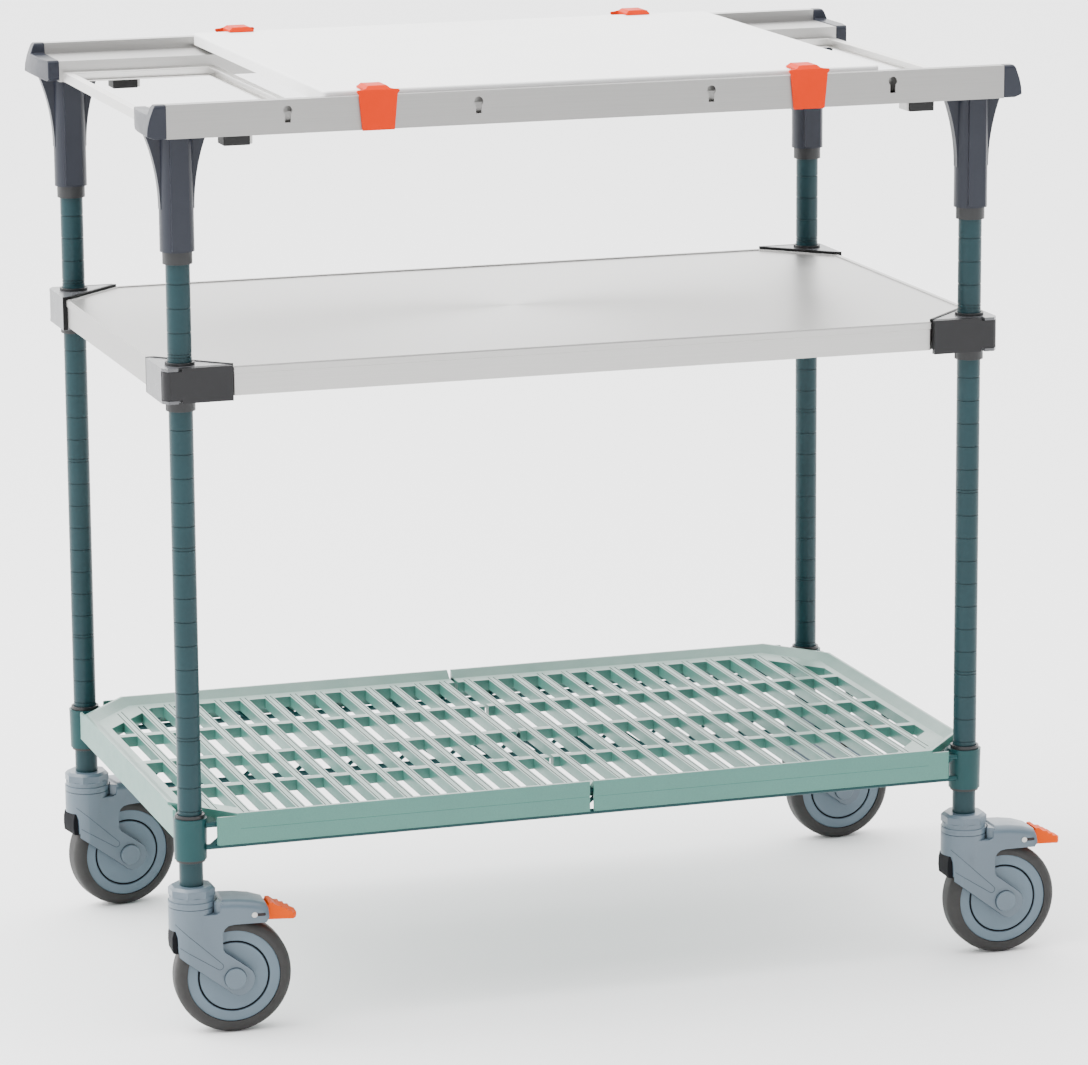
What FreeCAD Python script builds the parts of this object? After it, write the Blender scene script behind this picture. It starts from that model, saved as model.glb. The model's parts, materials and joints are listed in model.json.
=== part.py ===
import FreeCAD, Part
import math
import os

import Sketcher

# Rolling utility cart: four grooved tube posts on swivel casters, an open top frame of two
# stepped stainless rails with a lift-off board, a solid middle shelf whose corners carry
# hinged lock levers, and a lower wire-truss shelf with two lift-off grid mats.
#
# X runs along the cart, Y from front (-) to rear (+), Z up. The origin is on the floor,
# midway between the four posts. Sizes are millimetres.

doc = FreeCAD.newDocument("rolling_utility_cart")

# ---------------------------------------------------------------- driving dimensions

DIMENSIONS = {
    # posts
    "post_pitch_x": 876.3,
    "post_pitch_y": 495.3,
    "post_radius": 12.7,
    "post_bore": 11.1,
    "post_bottom": 162.0,
    "post_top": 950.0,
    "groove_pitch": 25.4,
    "groove_low": 193.04,
    "groove_count": 25,
    "groove_width": 1.4,
    "groove_depth": 0.8,
    "double_low": 320.04,
    "double_pitch": 203.2,
    "double_count": 3,
    "double_gap": 3.2,
    # split sleeves that wedge every collar on a post
    "sleeve_radius": 15.5,
    "sleeve_bore": 13.05,
    "sleeve_height": 51.0,
    "sleeve_slit": 1.2,
    "sleeve_fit": 0.1,
    "lower_sleeve_base": 188.0,
    "shelf_sleeve_base": 670.0,
    "bracket_sleeve_base": 823.0,
    # top rails: folded sheet with an upstand on the outer edge
    "rail_length": 914.4,
    "rail_outer": 292.0,
    "rail_inner": 205.0,
    "rail_bottom": 957.0,
    "rail_ledge": 980.0,
    "rail_top": 992.0,
    "upstand_depth": 13.0,
    "rail_flange": 12.0,
    "sheet_steel": 1.5,
    "keyhole_near": 127.0,
    "keyhole_far": 330.2,
    "keyhole_radius": 4.7,
    "keyhole_slot": 6.0,
    "keyhole_height": 981.0,
    "keyhole_drop": 12.5,
    # end caps
    "cap_top_reach": 13.0,
    "cap_low_reach": 20.5,
    "cap_inner_reach": 12.5,
    # post-top brackets
    "bracket_radius": 18.0,
    "bracket_panel": 9.5,
    "bracket_panel_reach": 18.8,
    "bracket_bottom": 836.0,
    "wing_half": 32.4,
    "wing_thick": 10.0,
    "wing_offset": 0.5,
    "wing_start": 880.0,
    "bracket_block": 16.5,
    "bracket_block_depth": 30.0,
    # drop-in pan frames
    "pan_frame_outer": 453.0,
    "pan_frame_inner": 281.0,
    "pan_frame_low": 957.5,
    "pan_frame_height": 10.5,
    "pan_frame_flange": 9.0,
    # keeper blocks under the rails
    "keeper_place": 376.0,
    "keeper_width": 28.0,
    "keeper_depth": 26.0,
    "keeper_low": 943.0,
    "keeper_plate": 3.0,
    # board and its clips
    "board_length": 609.6,
    "board_depth": 552.0,
    "board_thick": 12.7,
    "board_low": 983.8,
    "board_shift": 17.0,
    "clip_place": 235.0,
    "clip_gap": 0.4,
    "clip_wall": 3.0,
    "clip_tongue": 14.0,
    # middle shelf
    "shelf_length": 914.4,
    "shelf_depth": 533.4,
    "shelf_top": 716.0,
    "shelf_bottom": 685.0,
    "shelf_cut": 72.0,
    "shelf_sheet": 1.2,
    "shelf_rim": 5.0,
    "shelf_rim_rise": 1.5,
    "shelf_bead": 8.0,
    "shelf_bead_reach": 1.2,
    "stiffener_length": 760.0,
    "stiffener_width": 70.0,
    "stiffener_height": 24.0,
    # shelf corner castings and their levers
    "corner_low": 681.0,
    "corner_high": 718.0,
    "corner_side": 23.85,
    "corner_front": 25.85,
    "corner_reach": 50.2,
    "corner_back": 50.65,
    "corner_lug": 3.2,
    "lever_pin_x": 15.9,
    "lever_pin_y": 17.9,
    "lever_barrel": 7.5,
    "lever_thick": 7.0,
    "lever_pin_radius": 2.0,
    # lower wire shelf
    "collar_radius": 18.0,
    "collar_low": 191.0,
    "collar_high": 235.0,
    "wire_radius": 3.0,
    "truss_radius": 2.3,
    "wire_high": 227.8,
    "wire_low": 204.0,
    "wire_front": 258.0,
    "wire_side": 443.0,
    "centre_wire_high": 225.4,
    "truss_pitch": 29.7,
    # grid mats
    "mat_length": 900.0,
    "mat_depth": 534.0,
    "mat_seam": 4.4,
    "mat_top": 240.0,
    "mat_grid": 232.0,
    "mat_under": 220.0,
    "mat_bottom": 206.5,
    "mat_skin": 3.0,
    "mat_cut_x": 58.0,
    "mat_cut_y": 69.5,
    "mat_fin_x": 39.0,
    "mat_fin_y": 47.0,
    "mat_fin_top": 237.0,
    "mat_rim": 14.0,
    "slot_field_x": 856.0,
    "slot_field_y": 472.0,
    "slot_field_cut_x": 66.0,
    "slot_field_cut_y": 79.3,
    "slot_pitch": 29.9,
    "slot_width": 19.4,
    "slot_length": 108.0,
    "slot_bar": 12.0,
    "slot_column_count": 14,
    # casters
    "wheel_radius": 62.5,
    "wheel_width": 31.0,
    "tread_round": 9.5,
    "rim_radius": 49.8,
    "hub_width": 28.0,
    "hub_seam": 37.5,
    "axle_radius": 6.0,
    "axle_fit": 0.05,
    "axle_head": 11.5,
    "trail": 41.0,
    "horn_half": 24.0,
    "horn_gap": 18.3,
    "horn_clear": 66.0,
    "canopy_round": 9.0,
    "neck_radius": 25.2,
    "neck_top": 139.5,
    "kingpin_radius": 8.0,
    "kingpin_fit": 0.06,
    "nut_across": 46.5,
    "pedal_pivot_x": 70.0,
    "pedal_pivot_z": 130.0,
    "pedal_tip": 111.2,
    "pedal_half": 14.5,
    "pedal_pin_radius": 2.5,
}

# Heading of each caster's wheel about its post, in degrees from +X.
CASTER_HEADINGS = {"fl": -4.5, "fr": -1.5, "rl": 10.0, "rr": 2.0}

# The corner of the cart that each suffix names: signs of X and Y.
CORNERS = {"fl": (-1, -1), "fr": (1, -1), "rl": (-1, 1), "rr": (1, 1)}

sheet = doc.addObject("Spreadsheet::Sheet", "dims")
for row, (alias, value) in enumerate(DIMENSIONS.items(), start=1):
    sheet.set(f"A{row}", alias)
    sheet.set(f"B{row}", str(value))
    sheet.setAlias(f"B{row}", alias)
doc.recompute()

nodes = {}


def value_of(expression):
    """The number that an expression over the sheet gives now."""
    return float(sheet.evalExpression(str(expression).replace("dims.", "")))


def bind(thing, **expressions):
    """Bind properties to expressions over the sheet."""
    for name, expression in expressions.items():
        thing.setExpression(name, str(expression))


def place(thing, x=0, y=0, z=0, rotation=None):
    """Bind a thing's position to the sheet, with a fixed rotation."""
    if rotation is not None:
        thing.Placement = FreeCAD.Placement(FreeCAD.Vector(), rotation)
    for axis, expression in zip("xyz", (x, y, z)):
        thing.setExpression(f"Placement.Base.{axis}", str(expression))
    return thing


def turned(axis, degrees):
    return FreeCAD.Rotation(FreeCAD.Vector(*axis), degrees)


ALONG = {"x": turned((0, 1, 0), 90), "y": turned((1, 0, 0), -90), "z": turned((0, 0, 1), 0)}


# ---------------------------------------------------------------- modelling helpers


def box(name, low, high):
    """A box between two corners, each a triple of expressions."""
    thing = doc.addObject("Part::Box", name)
    for prop, low_side, high_side in zip(("Length", "Width", "Height"), low, high):
        thing.setExpression(prop, f"({high_side}) - ({low_side})")
    return place(thing, *low)


def rod(name, radius, length, at, axis="z"):
    """A cylinder that starts at a point and runs along one axis."""
    thing = doc.addObject("Part::Cylinder", name)
    bind(thing, Radius=radius, Height=length)
    return place(thing, *at, rotation=ALONG[axis])


def cut(name, base, *tools):
    """The base without its tools."""
    tool = tools[0] if len(tools) == 1 else fuse(f"{name}_tools", *tools)
    thing = doc.addObject("Part::Cut", name)
    thing.Base = base
    thing.Tool = tool
    return thing


def fuse(name, *things):
    thing = doc.addObject("Part::MultiFuse", name)
    thing.Shapes = list(things)
    return thing


def common(name, *things):
    thing = doc.addObject("Part::MultiCommon", name)
    thing.Shapes = list(things)
    return thing


def group(name, *things):
    """Separate solids kept together in one node."""
    thing = doc.addObject("Part::Compound", name)
    thing.Links = list(things)
    return thing


def copy_at(name, source, x, y, z=0, heading=0.0):
    """A copy of a master turned about Z and moved."""
    return place(group(name, source), x, y, z, rotation=turned((0, 0, 1), heading))


def mirror(name, source, normal):
    """A mirror image through the cart's middle plane, across X or across Y."""
    thing = doc.addObject("Part::Mirroring", name)
    thing.Source = source
    thing.Normal = FreeCAD.Vector(1, 0, 0) if normal == "x" else FreeCAD.Vector(0, 1, 0)
    return thing


def body(name):
    return doc.addObject("PartDesign::Body", name)


def outline(owner, name, plane, points):
    """A closed polygon on one of a body's own planes, each corner bound to the sheet."""
    sketch = owner.newObject("Sketcher::SketchObject", name)
    support = next(f for f in owner.Origin.OriginFeatures if f.Role == f"{plane}_Plane")
    sketch.AttachmentSupport = (support, [""])
    sketch.MapMode = "FlatFace"
    corners = [FreeCAD.Vector(value_of(a), value_of(b), 0) for a, b in points]
    count = len(corners)
    for index in range(count):
        sketch.addGeometry(Part.LineSegment(corners[index], corners[(index + 1) % count]))
    for index in range(count):
        sketch.addConstraint(Sketcher.Constraint("Coincident", index, 2, (index + 1) % count, 1))
    for index, (across, up) in enumerate(points):
        for kind, expression, number in (
            ("DistanceX", across, corners[index].x),
            ("DistanceY", up, corners[index].y),
        ):
            at = sketch.addConstraint(Sketcher.Constraint(kind, -1, 1, index, 1, number))
            sketch.setExpression(f"Constraints[{at}]", str(expression))
    return sketch


def pad(owner, name, sketch, length, midplane=True, backwards=False):
    thing = owner.newObject("PartDesign::Pad", name)
    thing.Profile = sketch
    thing.Midplane = midplane
    thing.Reversed = backwards
    thing.setExpression("Length", str(length))
    return thing


def prism(name, plane, points, length, **options):
    """A body padded from one polygon. By default the polygon's plane is its middle."""
    owner = body(name)
    pad(owner, f"{name}_pad", outline(owner, f"{name}_outline", plane, points), length, **options)
    return owner


def slab(name, points, low, high):
    """A flat body: a polygon in X and Y between two heights."""
    owner = prism(name, "XY", points, f"({high}) - ({low})", midplane=False)
    return place(owner, 0, 0, low)


def rounded(name, base, radius, chosen):
    """The base with a fillet on the edges that a test picks."""
    doc.recompute()
    edges = [i for i, edge in enumerate(base.Shape.Edges, start=1) if chosen(edge)]
    thing = doc.addObject("Part::Fillet", name)
    thing.Base = base
    size = value_of(radius)
    thing.Edges = [(index, size, size) for index in edges]
    return thing


def chamfered(name, base, size, chosen):
    """The base with a flat bevel on the edges that a test picks."""
    doc.recompute()
    edges = [i for i, edge in enumerate(base.Shape.Edges, start=1) if chosen(edge)]
    thing = doc.addObject("Part::Chamfer", name)
    thing.Base = base
    thing.Edges = [(index, size, size) for index in edges]
    return thing


def is_vertical(edge):
    ends = [vertex.Point for vertex in edge.Vertexes]
    return len(ends) == 2 and abs(ends[0].x - ends[1].x) + abs(ends[0].y - ends[1].y) < 1e-6


def is_rim_at(height):
    """A test for edges that lie level at one height."""

    def chosen(edge):
        bounds = edge.BoundBox
        return abs(bounds.ZMin - height) < 1e-6 and abs(bounds.ZMax - height) < 1e-6

    return chosen


def node(name, thing):
    """Name a finished sub-part."""
    thing.Label = name
    nodes[name] = thing
    return thing


def at_four_corners(stem, master):
    """Nodes at the rear right corner and, mirrored, at the other three."""
    rear_left = mirror(f"{stem}_rl_mirror", master, "x")
    node(f"{stem}_rr", master)
    node(f"{stem}_rl", rear_left)
    node(f"{stem}_fr", mirror(f"{stem}_fr_mirror", master, "y"))
    node(f"{stem}_fl", mirror(f"{stem}_fl_mirror", rear_left, "y"))


def post_place(corner):
    """Expressions for a post's axis."""
    side_x, side_y = CORNERS[corner]
    return f"{side_x} * dims.post_pitch_x / 2", f"{side_y} * dims.post_pitch_y / 2"


# ---------------------------------------------------------------- posts and sleeves


def groove_profile(owner, name, height):
    """A small rectangle that bites into the post's skin at one height."""
    inner = "dims.post_radius - dims.groove_depth"
    outer = "dims.post_radius + 1"
    low = f"{height} - dims.groove_width / 2"
    high = f"{height} + dims.groove_width / 2"
    return outline(owner, name, "XZ", [(inner, low), (outer, low), (outer, high), (inner, high)])


def grooves(owner, name, height, pitch, count):
    """A ring groove repeated up the post."""
    ring = owner.newObject("PartDesign::Groove", name)
    profile = groove_profile(owner, f"{name}_profile", height)
    ring.Profile = profile
    ring.ReferenceAxis = (profile, ["V_Axis"])
    ring.Angle = 360
    row = owner.newObject("PartDesign::LinearPattern", f"{name}_row")
    row.Originals = [ring]
    row.Direction = (profile, ["V_Axis"])
    row.setExpression("Length", f"({pitch}) * ({count} - 1)")
    row.setExpression("Occurrences", str(count))
    owner.Tip = row


def make_posts():
    master = body("post_master")
    wall = outline(
        master,
        "post_wall",
        "XZ",
        [
            ("dims.post_bore", "dims.post_bottom"),
            ("dims.post_radius", "dims.post_bottom"),
            ("dims.post_radius", "dims.post_top"),
            ("dims.post_bore", "dims.post_top"),
        ],
    )
    tube = master.newObject("PartDesign::Revolution", "post_tube")
    tube.Profile = wall
    tube.ReferenceAxis = (wall, ["V_Axis"])
    tube.Angle = 360
    grooves(master, "inch_groove", "dims.groove_low", "dims.groove_pitch", "dims.groove_count")
    second = "dims.double_low + dims.double_gap"
    grooves(master, "double_groove", second, "dims.double_pitch", "dims.double_count")
    for corner in CORNERS:
        node(f"post_{corner}", copy_at(f"post_{corner}_copy", master, *post_place(corner)))


def make_sleeves():
    """Each sleeve is two half shells round the post, parted by a slit along X."""
    ring = cut(
        "sleeve_ring",
        rod("sleeve_outside", "dims.sleeve_radius", "dims.sleeve_height", (0, 0, 0)),
        rod("sleeve_inside", "dims.sleeve_bore", "dims.sleeve_height + 2", (0, 0, -1)),
        box(
            "sleeve_slit_tool",
            ("-dims.sleeve_radius - 1", "-dims.sleeve_slit / 2", -1),
            ("dims.sleeve_radius + 1", "dims.sleeve_slit / 2", "dims.sleeve_height + 1"),
        ),
    )

    def four(level, height):
        return [
            copy_at(f"{level}_sleeve_{corner}", ring, *post_place(corner), height)
            for corner in CORNERS
        ]

    fixed = four("lower", "dims.lower_sleeve_base") + four("bracket", "dims.bracket_sleeve_base")
    node("split_sleeves", group("split_sleeves_group", *fixed))
    node("shelf_sleeves", group("shelf_sleeves_group", *four("shelf", "dims.shelf_sleeve_base")))


def collar_bore(name, low, high, corner_x, corner_y):
    """The hole that a split sleeve fills."""
    return rod(
        name,
        "dims.sleeve_radius + dims.sleeve_fit",
        f"({high}) - ({low})",
        (corner_x, corner_y, low),
    )


# ---------------------------------------------------------------- top frame


def keyhole(name, across):
    """A round hole with a narrow slot below it, through a rail's outer wall."""
    start = "dims.rail_outer - dims.sheet_steel - 1"
    hole = rod(
        f"{name}_hole",
        "dims.keyhole_radius",
        "dims.sheet_steel + 2",
        (across, start, "dims.keyhole_height"),
        axis="y",
    )
    slot = box(
        f"{name}_slot",
        (f"{across} - dims.keyhole_slot / 2", start, "dims.keyhole_height - dims.keyhole_drop"),
        (f"{across} + dims.keyhole_slot / 2", "dims.rail_outer + 1", "dims.keyhole_height"),
    )
    return [hole, slot]


def make_rails():
    """A folded channel, open below: flange, outer wall, upstand, ledge, inner wall, flange."""
    wall = "dims.sheet_steel"
    step = "dims.rail_outer - dims.upstand_depth"
    section = [
        ("dims.rail_outer - dims.rail_flange", "dims.rail_bottom"),
        ("dims.rail_outer", "dims.rail_bottom"),
        ("dims.rail_outer", "dims.rail_top"),
        (step, "dims.rail_top"),
        (step, "dims.rail_ledge"),
        ("dims.rail_inner", "dims.rail_ledge"),
        ("dims.rail_inner", "dims.rail_bottom"),
        ("dims.rail_inner + dims.rail_flange", "dims.rail_bottom"),
        ("dims.rail_inner + dims.rail_flange", f"dims.rail_bottom + {wall}"),
        (f"dims.rail_inner + {wall}", f"dims.rail_bottom + {wall}"),
        (f"dims.rail_inner + {wall}", f"dims.rail_ledge - {wall}"),
        (f"{step} + {wall}", f"dims.rail_ledge - {wall}"),
        (f"{step} + {wall}", f"dims.rail_top - {wall}"),
        (f"dims.rail_outer - {wall}", f"dims.rail_top - {wall}"),
        (f"dims.rail_outer - {wall}", f"dims.rail_bottom + {wall}"),
        ("dims.rail_outer - dims.rail_flange", f"dims.rail_bottom + {wall}"),
    ]
    channel = prism("rail_channel", "YZ", section, "dims.rail_length")
    holes = []
    for label, distance in (("near", "dims.keyhole_near"), ("far", "dims.keyhole_far")):
        for side in (-1, 1):
            holes += keyhole(f"keyhole_{label}_{side + 1}", f"{side} * {distance}")
    rear = cut("rail_with_keyholes", channel, *holes)
    node("rail_rear", rear)
    node("rail_front", mirror("rail_front_mirror", rear, "y"))


def make_end_caps():
    """A cap follows the rail's stepped section, bulges outwards and narrows towards the inside."""
    end = "dims.rail_length / 2"
    low = "dims.rail_bottom + 0.5"
    bulge = prism(
        "cap_bulge",
        "XZ",
        [
            (end, low),
            (f"{end} + dims.cap_inner_reach", low),
            (f"{end} + dims.cap_low_reach", "dims.rail_bottom + 3.5"),
            (f"{end} + dims.cap_low_reach - 0.8", "dims.rail_bottom + 12"),
            (f"{end} + dims.cap_low_reach - 2.9", "dims.rail_bottom + 21"),
            (f"{end} + dims.cap_top_reach + 0.5", "dims.rail_top - 3"),
            (f"{end} + dims.cap_top_reach - 1.5", "dims.rail_top + 0.3"),
            (end, "dims.rail_top + 0.3"),
        ],
        "2 * dims.rail_outer + 10",
    )
    step = "dims.rail_outer - dims.upstand_depth"
    side = prism(
        "cap_side",
        "YZ",
        [
            ("dims.rail_inner - 1", "dims.rail_bottom + 4"),
            ("dims.rail_inner + 8", low),
            ("dims.rail_outer + 1", low),
            ("dims.rail_outer + 1", "dims.rail_top - 2"),
            ("dims.rail_outer - 1", "dims.rail_top + 0.3"),
            (f"{step} + 1", "dims.rail_top + 0.3"),
            (f"{step} - 1", "dims.rail_top - 2"),
            (f"{step} - 2.5", "dims.rail_ledge + 1"),
            ("dims.rail_inner + 1", "dims.rail_ledge + 1"),
            ("dims.rail_inner - 1", "dims.rail_ledge - 1.5"),
        ],
        "dims.rail_length + 80",
    )
    plan = prism(
        "cap_plan",
        "XY",
        [
            (end, "dims.rail_inner - 2"),
            (f"{end} + dims.cap_inner_reach", "dims.rail_inner - 2"),
            (f"{end} + dims.cap_low_reach - 2", "dims.rail_inner + 35"),
            (f"{end} + dims.cap_low_reach + 0.5", "dims.rail_outer - 12"),
            (f"{end} + dims.cap_low_reach + 0.5", "dims.rail_outer + 2"),
            (end, "dims.rail_outer + 2"),
        ],
        "2 * dims.rail_top + 20",
    )
    at_four_corners("end_cap", common("end_cap_master", bulge, side, plan))


def make_brackets():
    """A round socket with flat panels, and wings near its outer face that flare up to the rail.

    The master stands about the Z axis with its outer face towards +Y."""
    socket = rod(
        "bracket_socket",
        "dims.bracket_radius",
        "dims.rail_bottom - dims.bracket_bottom",
        (0, 0, "dims.bracket_bottom"),
    )
    panels = box(
        "bracket_panels",
        ("-dims.bracket_panel", "-dims.bracket_panel_reach", "dims.bracket_bottom + 2"),
        ("dims.bracket_panel", "dims.bracket_panel_reach", "dims.rail_bottom"),
    )
    near = "dims.wing_offset - dims.wing_thick / 2"
    plate = box(
        "wing_plate",
        ("-dims.wing_half", near, "dims.wing_start"),
        ("dims.wing_half", f"{near} + dims.wing_thick", "dims.rail_bottom"),
    )
    # Each flare is an arc that leaves the socket's side upright and reaches the wing's tip.
    rise = "(dims.rail_bottom - dims.wing_start)"
    spread = "(dims.wing_half - dims.bracket_radius)"
    radius = f"(({spread} ^ 2 + {rise} ^ 2) / (2 * {spread}))"
    hollows = [
        rod(
            f"flare_{name}",
            radius,
            "dims.wing_thick + 2",
            (f"{sign} * (dims.bracket_radius + {radius})", f"{near} - 1", "dims.wing_start"),
            axis="y",
        )
        for name, sign in (("left", -1), ("right", 1))
    ]
    wings = cut("wings", plate, *hollows)
    block = box(
        "bracket_block_box",
        ("-dims.bracket_block", "-dims.bracket_block_depth", "dims.rail_bottom"),
        ("dims.bracket_block", "dims.bracket_block_depth", "dims.rail_ledge - dims.sheet_steel"),
    )
    bore = rod(
        "bracket_bore",
        "dims.post_radius + dims.sleeve_fit",
        "dims.post_top + 0.5 - dims.bracket_bottom",
        (0, 0, "dims.bracket_bottom"),
    )
    sleeve_end = "dims.bracket_sleeve_base + dims.sleeve_height + 1"
    seat = collar_bore("bracket_seat", "dims.bracket_bottom", sleeve_end, 0, 0)
    master = cut("bracket_master", fuse("bracket_solid", socket, panels, wings, block), bore, seat)
    for corner, (side_x, side_y) in CORNERS.items():
        heading = 0 if side_y > 0 else 180
        copied = copy_at(f"bracket_{corner}_copy", master, *post_place(corner), heading=heading)
        node(f"bracket_{corner}", copied)


def make_pan_frames():
    """A rectangle of small channel, open towards the inside, spanning the two rails."""
    low = ("dims.pan_frame_inner", "-dims.rail_inner", "dims.pan_frame_low")
    top = "dims.pan_frame_low + dims.pan_frame_height"
    high = ("dims.pan_frame_outer", "dims.rail_inner", top)

    def inset(name, margin, low_z, high_z):
        return box(
            name,
            (f"{low[0]} + {margin}", f"{low[1]} + {margin}", low_z),
            (f"{high[0]} - {margin}", f"{high[1]} - {margin}", high_z),
        )

    web = "dims.sheet_steel"
    opening = inset("pan_opening", "dims.pan_frame_flange", f"{low[2]} - 1", f"{top} + 1")
    channel = inset("pan_channel", web, f"{low[2]} + {web}", f"{top} - {web}")
    right = cut("pan_frame_solid", box("pan_frame_box", low, high), opening, channel)
    node("pan_frame_right", right)
    node("pan_frame_left", mirror("pan_frame_left_mirror", right, "x"))


def make_keepers():
    """Rubber blocks under the rails with a steel plate on their inner side."""
    top = "dims.rail_ledge - dims.sheet_steel"
    blocks = []
    plates = []
    for corner, (side_x, side_y) in CORNERS.items():
        middle_x = f"{side_x} * dims.keeper_place"
        middle_y = f"{side_y} * (dims.post_pitch_y / 2)"
        blocks.append(
            box(
                f"keeper_{corner}",
                (f"{middle_x} - dims.keeper_width / 2", f"{middle_y} - dims.keeper_depth / 2", "dims.keeper_low"),
                (f"{middle_x} + dims.keeper_width / 2", f"{middle_y} + dims.keeper_depth / 2", top),
            )
        )
        plate_x = f"{side_x} * (dims.keeper_place - dims.keeper_width / 2 - dims.keeper_plate / 2)"
        plates.append(
            box(
                f"keeper_plate_{corner}",
                (f"{plate_x} - dims.keeper_plate / 2", f"{middle_y} - 11", "dims.keeper_low + 1"),
                (f"{plate_x} + dims.keeper_plate / 2", f"{middle_y} + 11", top),
            )
        )
    node("keeper_blocks", group("keeper_blocks_group", *blocks))
    node("keeper_plates", group("keeper_plates_group", *plates))


# ---------------------------------------------------------------- board and clips


def make_board():
    sheet_box = box(
        "board_box",
        ("dims.board_shift - dims.board_length / 2", "-dims.board_depth / 2", "dims.board_low"),
        (
            "dims.board_shift + dims.board_length / 2",
            "dims.board_depth / 2",
            "dims.board_low + dims.board_thick",
        ),
    )
    corners = rounded("board_corners", sheet_box, 6, is_vertical)
    top = value_of("board_low + board_thick")
    node("cutting_board", rounded("board_edges", corners, 2.5, is_rim_at(top)))


def make_clips():
    """A clip hangs over the upstand: a tapered face outside, an inner leg and a foot below."""
    front_view = prism(
        "clip_front_view",
        "XZ",
        [
            (-17, "dims.rail_bottom - 0.5"),
            (17, "dims.rail_bottom - 0.5"),
            (20.5, "dims.rail_top + 1.5"),
            (23, "dims.rail_top + 4.2"),
            (22, "dims.rail_top + 6"),
            (17, "dims.rail_top + 6.4"),
            (13, "dims.rail_top + 7.4"),
            (10, "dims.rail_top + 10"),
            (-10, "dims.rail_top + 10"),
            (-13, "dims.rail_top + 7.4"),
            (-17, "dims.rail_top + 6.4"),
            (-22, "dims.rail_top + 6"),
            (-23, "dims.rail_top + 4.2"),
            (-20.5, "dims.rail_top + 1.5"),
        ],
        "2 * dims.rail_outer + 40",
    )
    skin = "dims.rail_outer + dims.clip_gap"
    step = "dims.rail_outer - dims.upstand_depth - dims.clip_gap"
    board_side = "dims.board_depth / 2 + 0.2"
    board_under = "dims.board_low - 0.2"
    board_over = "dims.board_low + dims.board_thick + 0.4"
    side_view = prism(
        "clip_side_view",
        "YZ",
        [
            (f"{skin}", "dims.rail_bottom - 1"),
            (f"{skin} + dims.clip_wall", "dims.rail_bottom - 1"),
            (f"{skin} + dims.clip_wall", "dims.rail_top + 6"),
            (f"{skin} - 3", "dims.rail_top + 11"),
            (f"{board_side} - 12", "dims.rail_top + 11"),
            (f"{board_side} - 16", board_over),
            (board_side, board_over),
            (board_side, board_under),
            (f"{board_side} - 26", board_under),
            (f"{board_side} - 26", "dims.rail_ledge + 0.3"),
            (step, "dims.rail_ledge + 0.3"),
            (step, "dims.rail_top + 0.4"),
            (skin, "dims.rail_top + 0.4"),
        ],
        60,
    )
    tongue = box(
        "clip_tongue",
        ("-dims.clip_tongue", 0, "dims.rail_bottom - 2"),
        ("dims.clip_tongue", skin, "dims.rail_top + 20"),
    )
    face = box(
        "clip_face",
        (-30, skin, "dims.rail_bottom - 2"),
        (30, f"{skin} + 20", "dims.rail_top + 20"),
    )
    shape = common("clip_master", front_view, side_view, fuse("clip_spread", tongue, face))
    rear = [
        copy_at(f"clip_rear_{name}", shape, f"{sign} * dims.clip_place", 0)
        for name, sign in (("left", -1), ("right", 1))
    ]
    front = [mirror(f"clip_front_{index}", clip, "y") for index, clip in enumerate(rear)]
    node("board_clips", group("board_clips_group", *rear, *front))


# ---------------------------------------------------------------- middle shelf


def octagon(length, depth, cut_x, cut_y, margin=0):
    """A rectangle with its four corners cut off, every side moved inwards by a margin."""
    slant = f"sqrt(({cut_x}) ^ 2 + ({cut_y}) ^ 2)"
    far_x = f"({length}) / 2 - ({margin})"
    far_y = f"({depth}) / 2 - ({margin})"
    near_x = f"({length}) / 2 - ({cut_x}) - ({slant} - ({cut_x})) / ({cut_y}) * ({margin})"
    near_y = f"({depth}) / 2 - ({cut_y}) - ({slant} - ({cut_y})) / ({cut_x}) * ({margin})"
    quarter = [(near_x, far_y), (far_x, near_y)]
    right = [(a, f"-({b})") for a, b in quarter] + [(a, b) for a, b in reversed(quarter)]
    return right + [(f"-({a})", f"-({b})") for a, b in right]


def shelf_slab(name, margin, low, high):
    corners = octagon("dims.shelf_length", "dims.shelf_depth", "dims.shelf_cut", "dims.shelf_cut", margin)
    return slab(name, corners, low, high)


def make_middle_shelf():
    """A folded sheet tray turned upside down, with a bead and a low rim round its edge."""
    skirt = shelf_slab("shelf_block", 0, "dims.shelf_bottom", "dims.shelf_top")
    bead = shelf_slab(
        "shelf_bead_block", "-dims.shelf_bead_reach", "dims.shelf_top - dims.shelf_bead", "dims.shelf_top - 1"
    )
    deck_low = "dims.shelf_top - dims.shelf_rim_rise - dims.shelf_sheet"
    hollow = shelf_slab(
        "shelf_hollow", "dims.sheet_steel", "dims.shelf_bottom + dims.shelf_sheet", deck_low
    )
    hatch = shelf_slab("shelf_hatch", 13, "dims.shelf_bottom - 1", "dims.shelf_bottom + dims.shelf_sheet + 1")
    dish = shelf_slab(
        "shelf_dish", "dims.shelf_rim", "dims.shelf_top - dims.shelf_rim_rise", "dims.shelf_top + 1"
    )
    tray = fuse("shelf_tray", skirt, bead)
    node("middle_shelf", cut("middle_shelf_cut", tray, hollow, hatch, dish))

    channel = "dims.sheet_steel"
    outer = box(
        "stiffener_box",
        ("-dims.stiffener_length / 2", "-dims.stiffener_width / 2", f"{deck_low} - dims.stiffener_height"),
        ("dims.stiffener_length / 2", "dims.stiffener_width / 2", deck_low),
    )
    inner = box(
        "stiffener_hollow",
        (
            "-dims.stiffener_length / 2 - 1",
            f"-dims.stiffener_width / 2 + {channel}",
            f"{deck_low} - dims.stiffener_height + {channel}",
        ),
        ("dims.stiffener_length / 2 + 1", f"dims.stiffener_width / 2 - {channel}", f"{deck_low} + 1"),
    )
    node("shelf_stiffener", cut("stiffener_channel", outer, inner))


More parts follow.
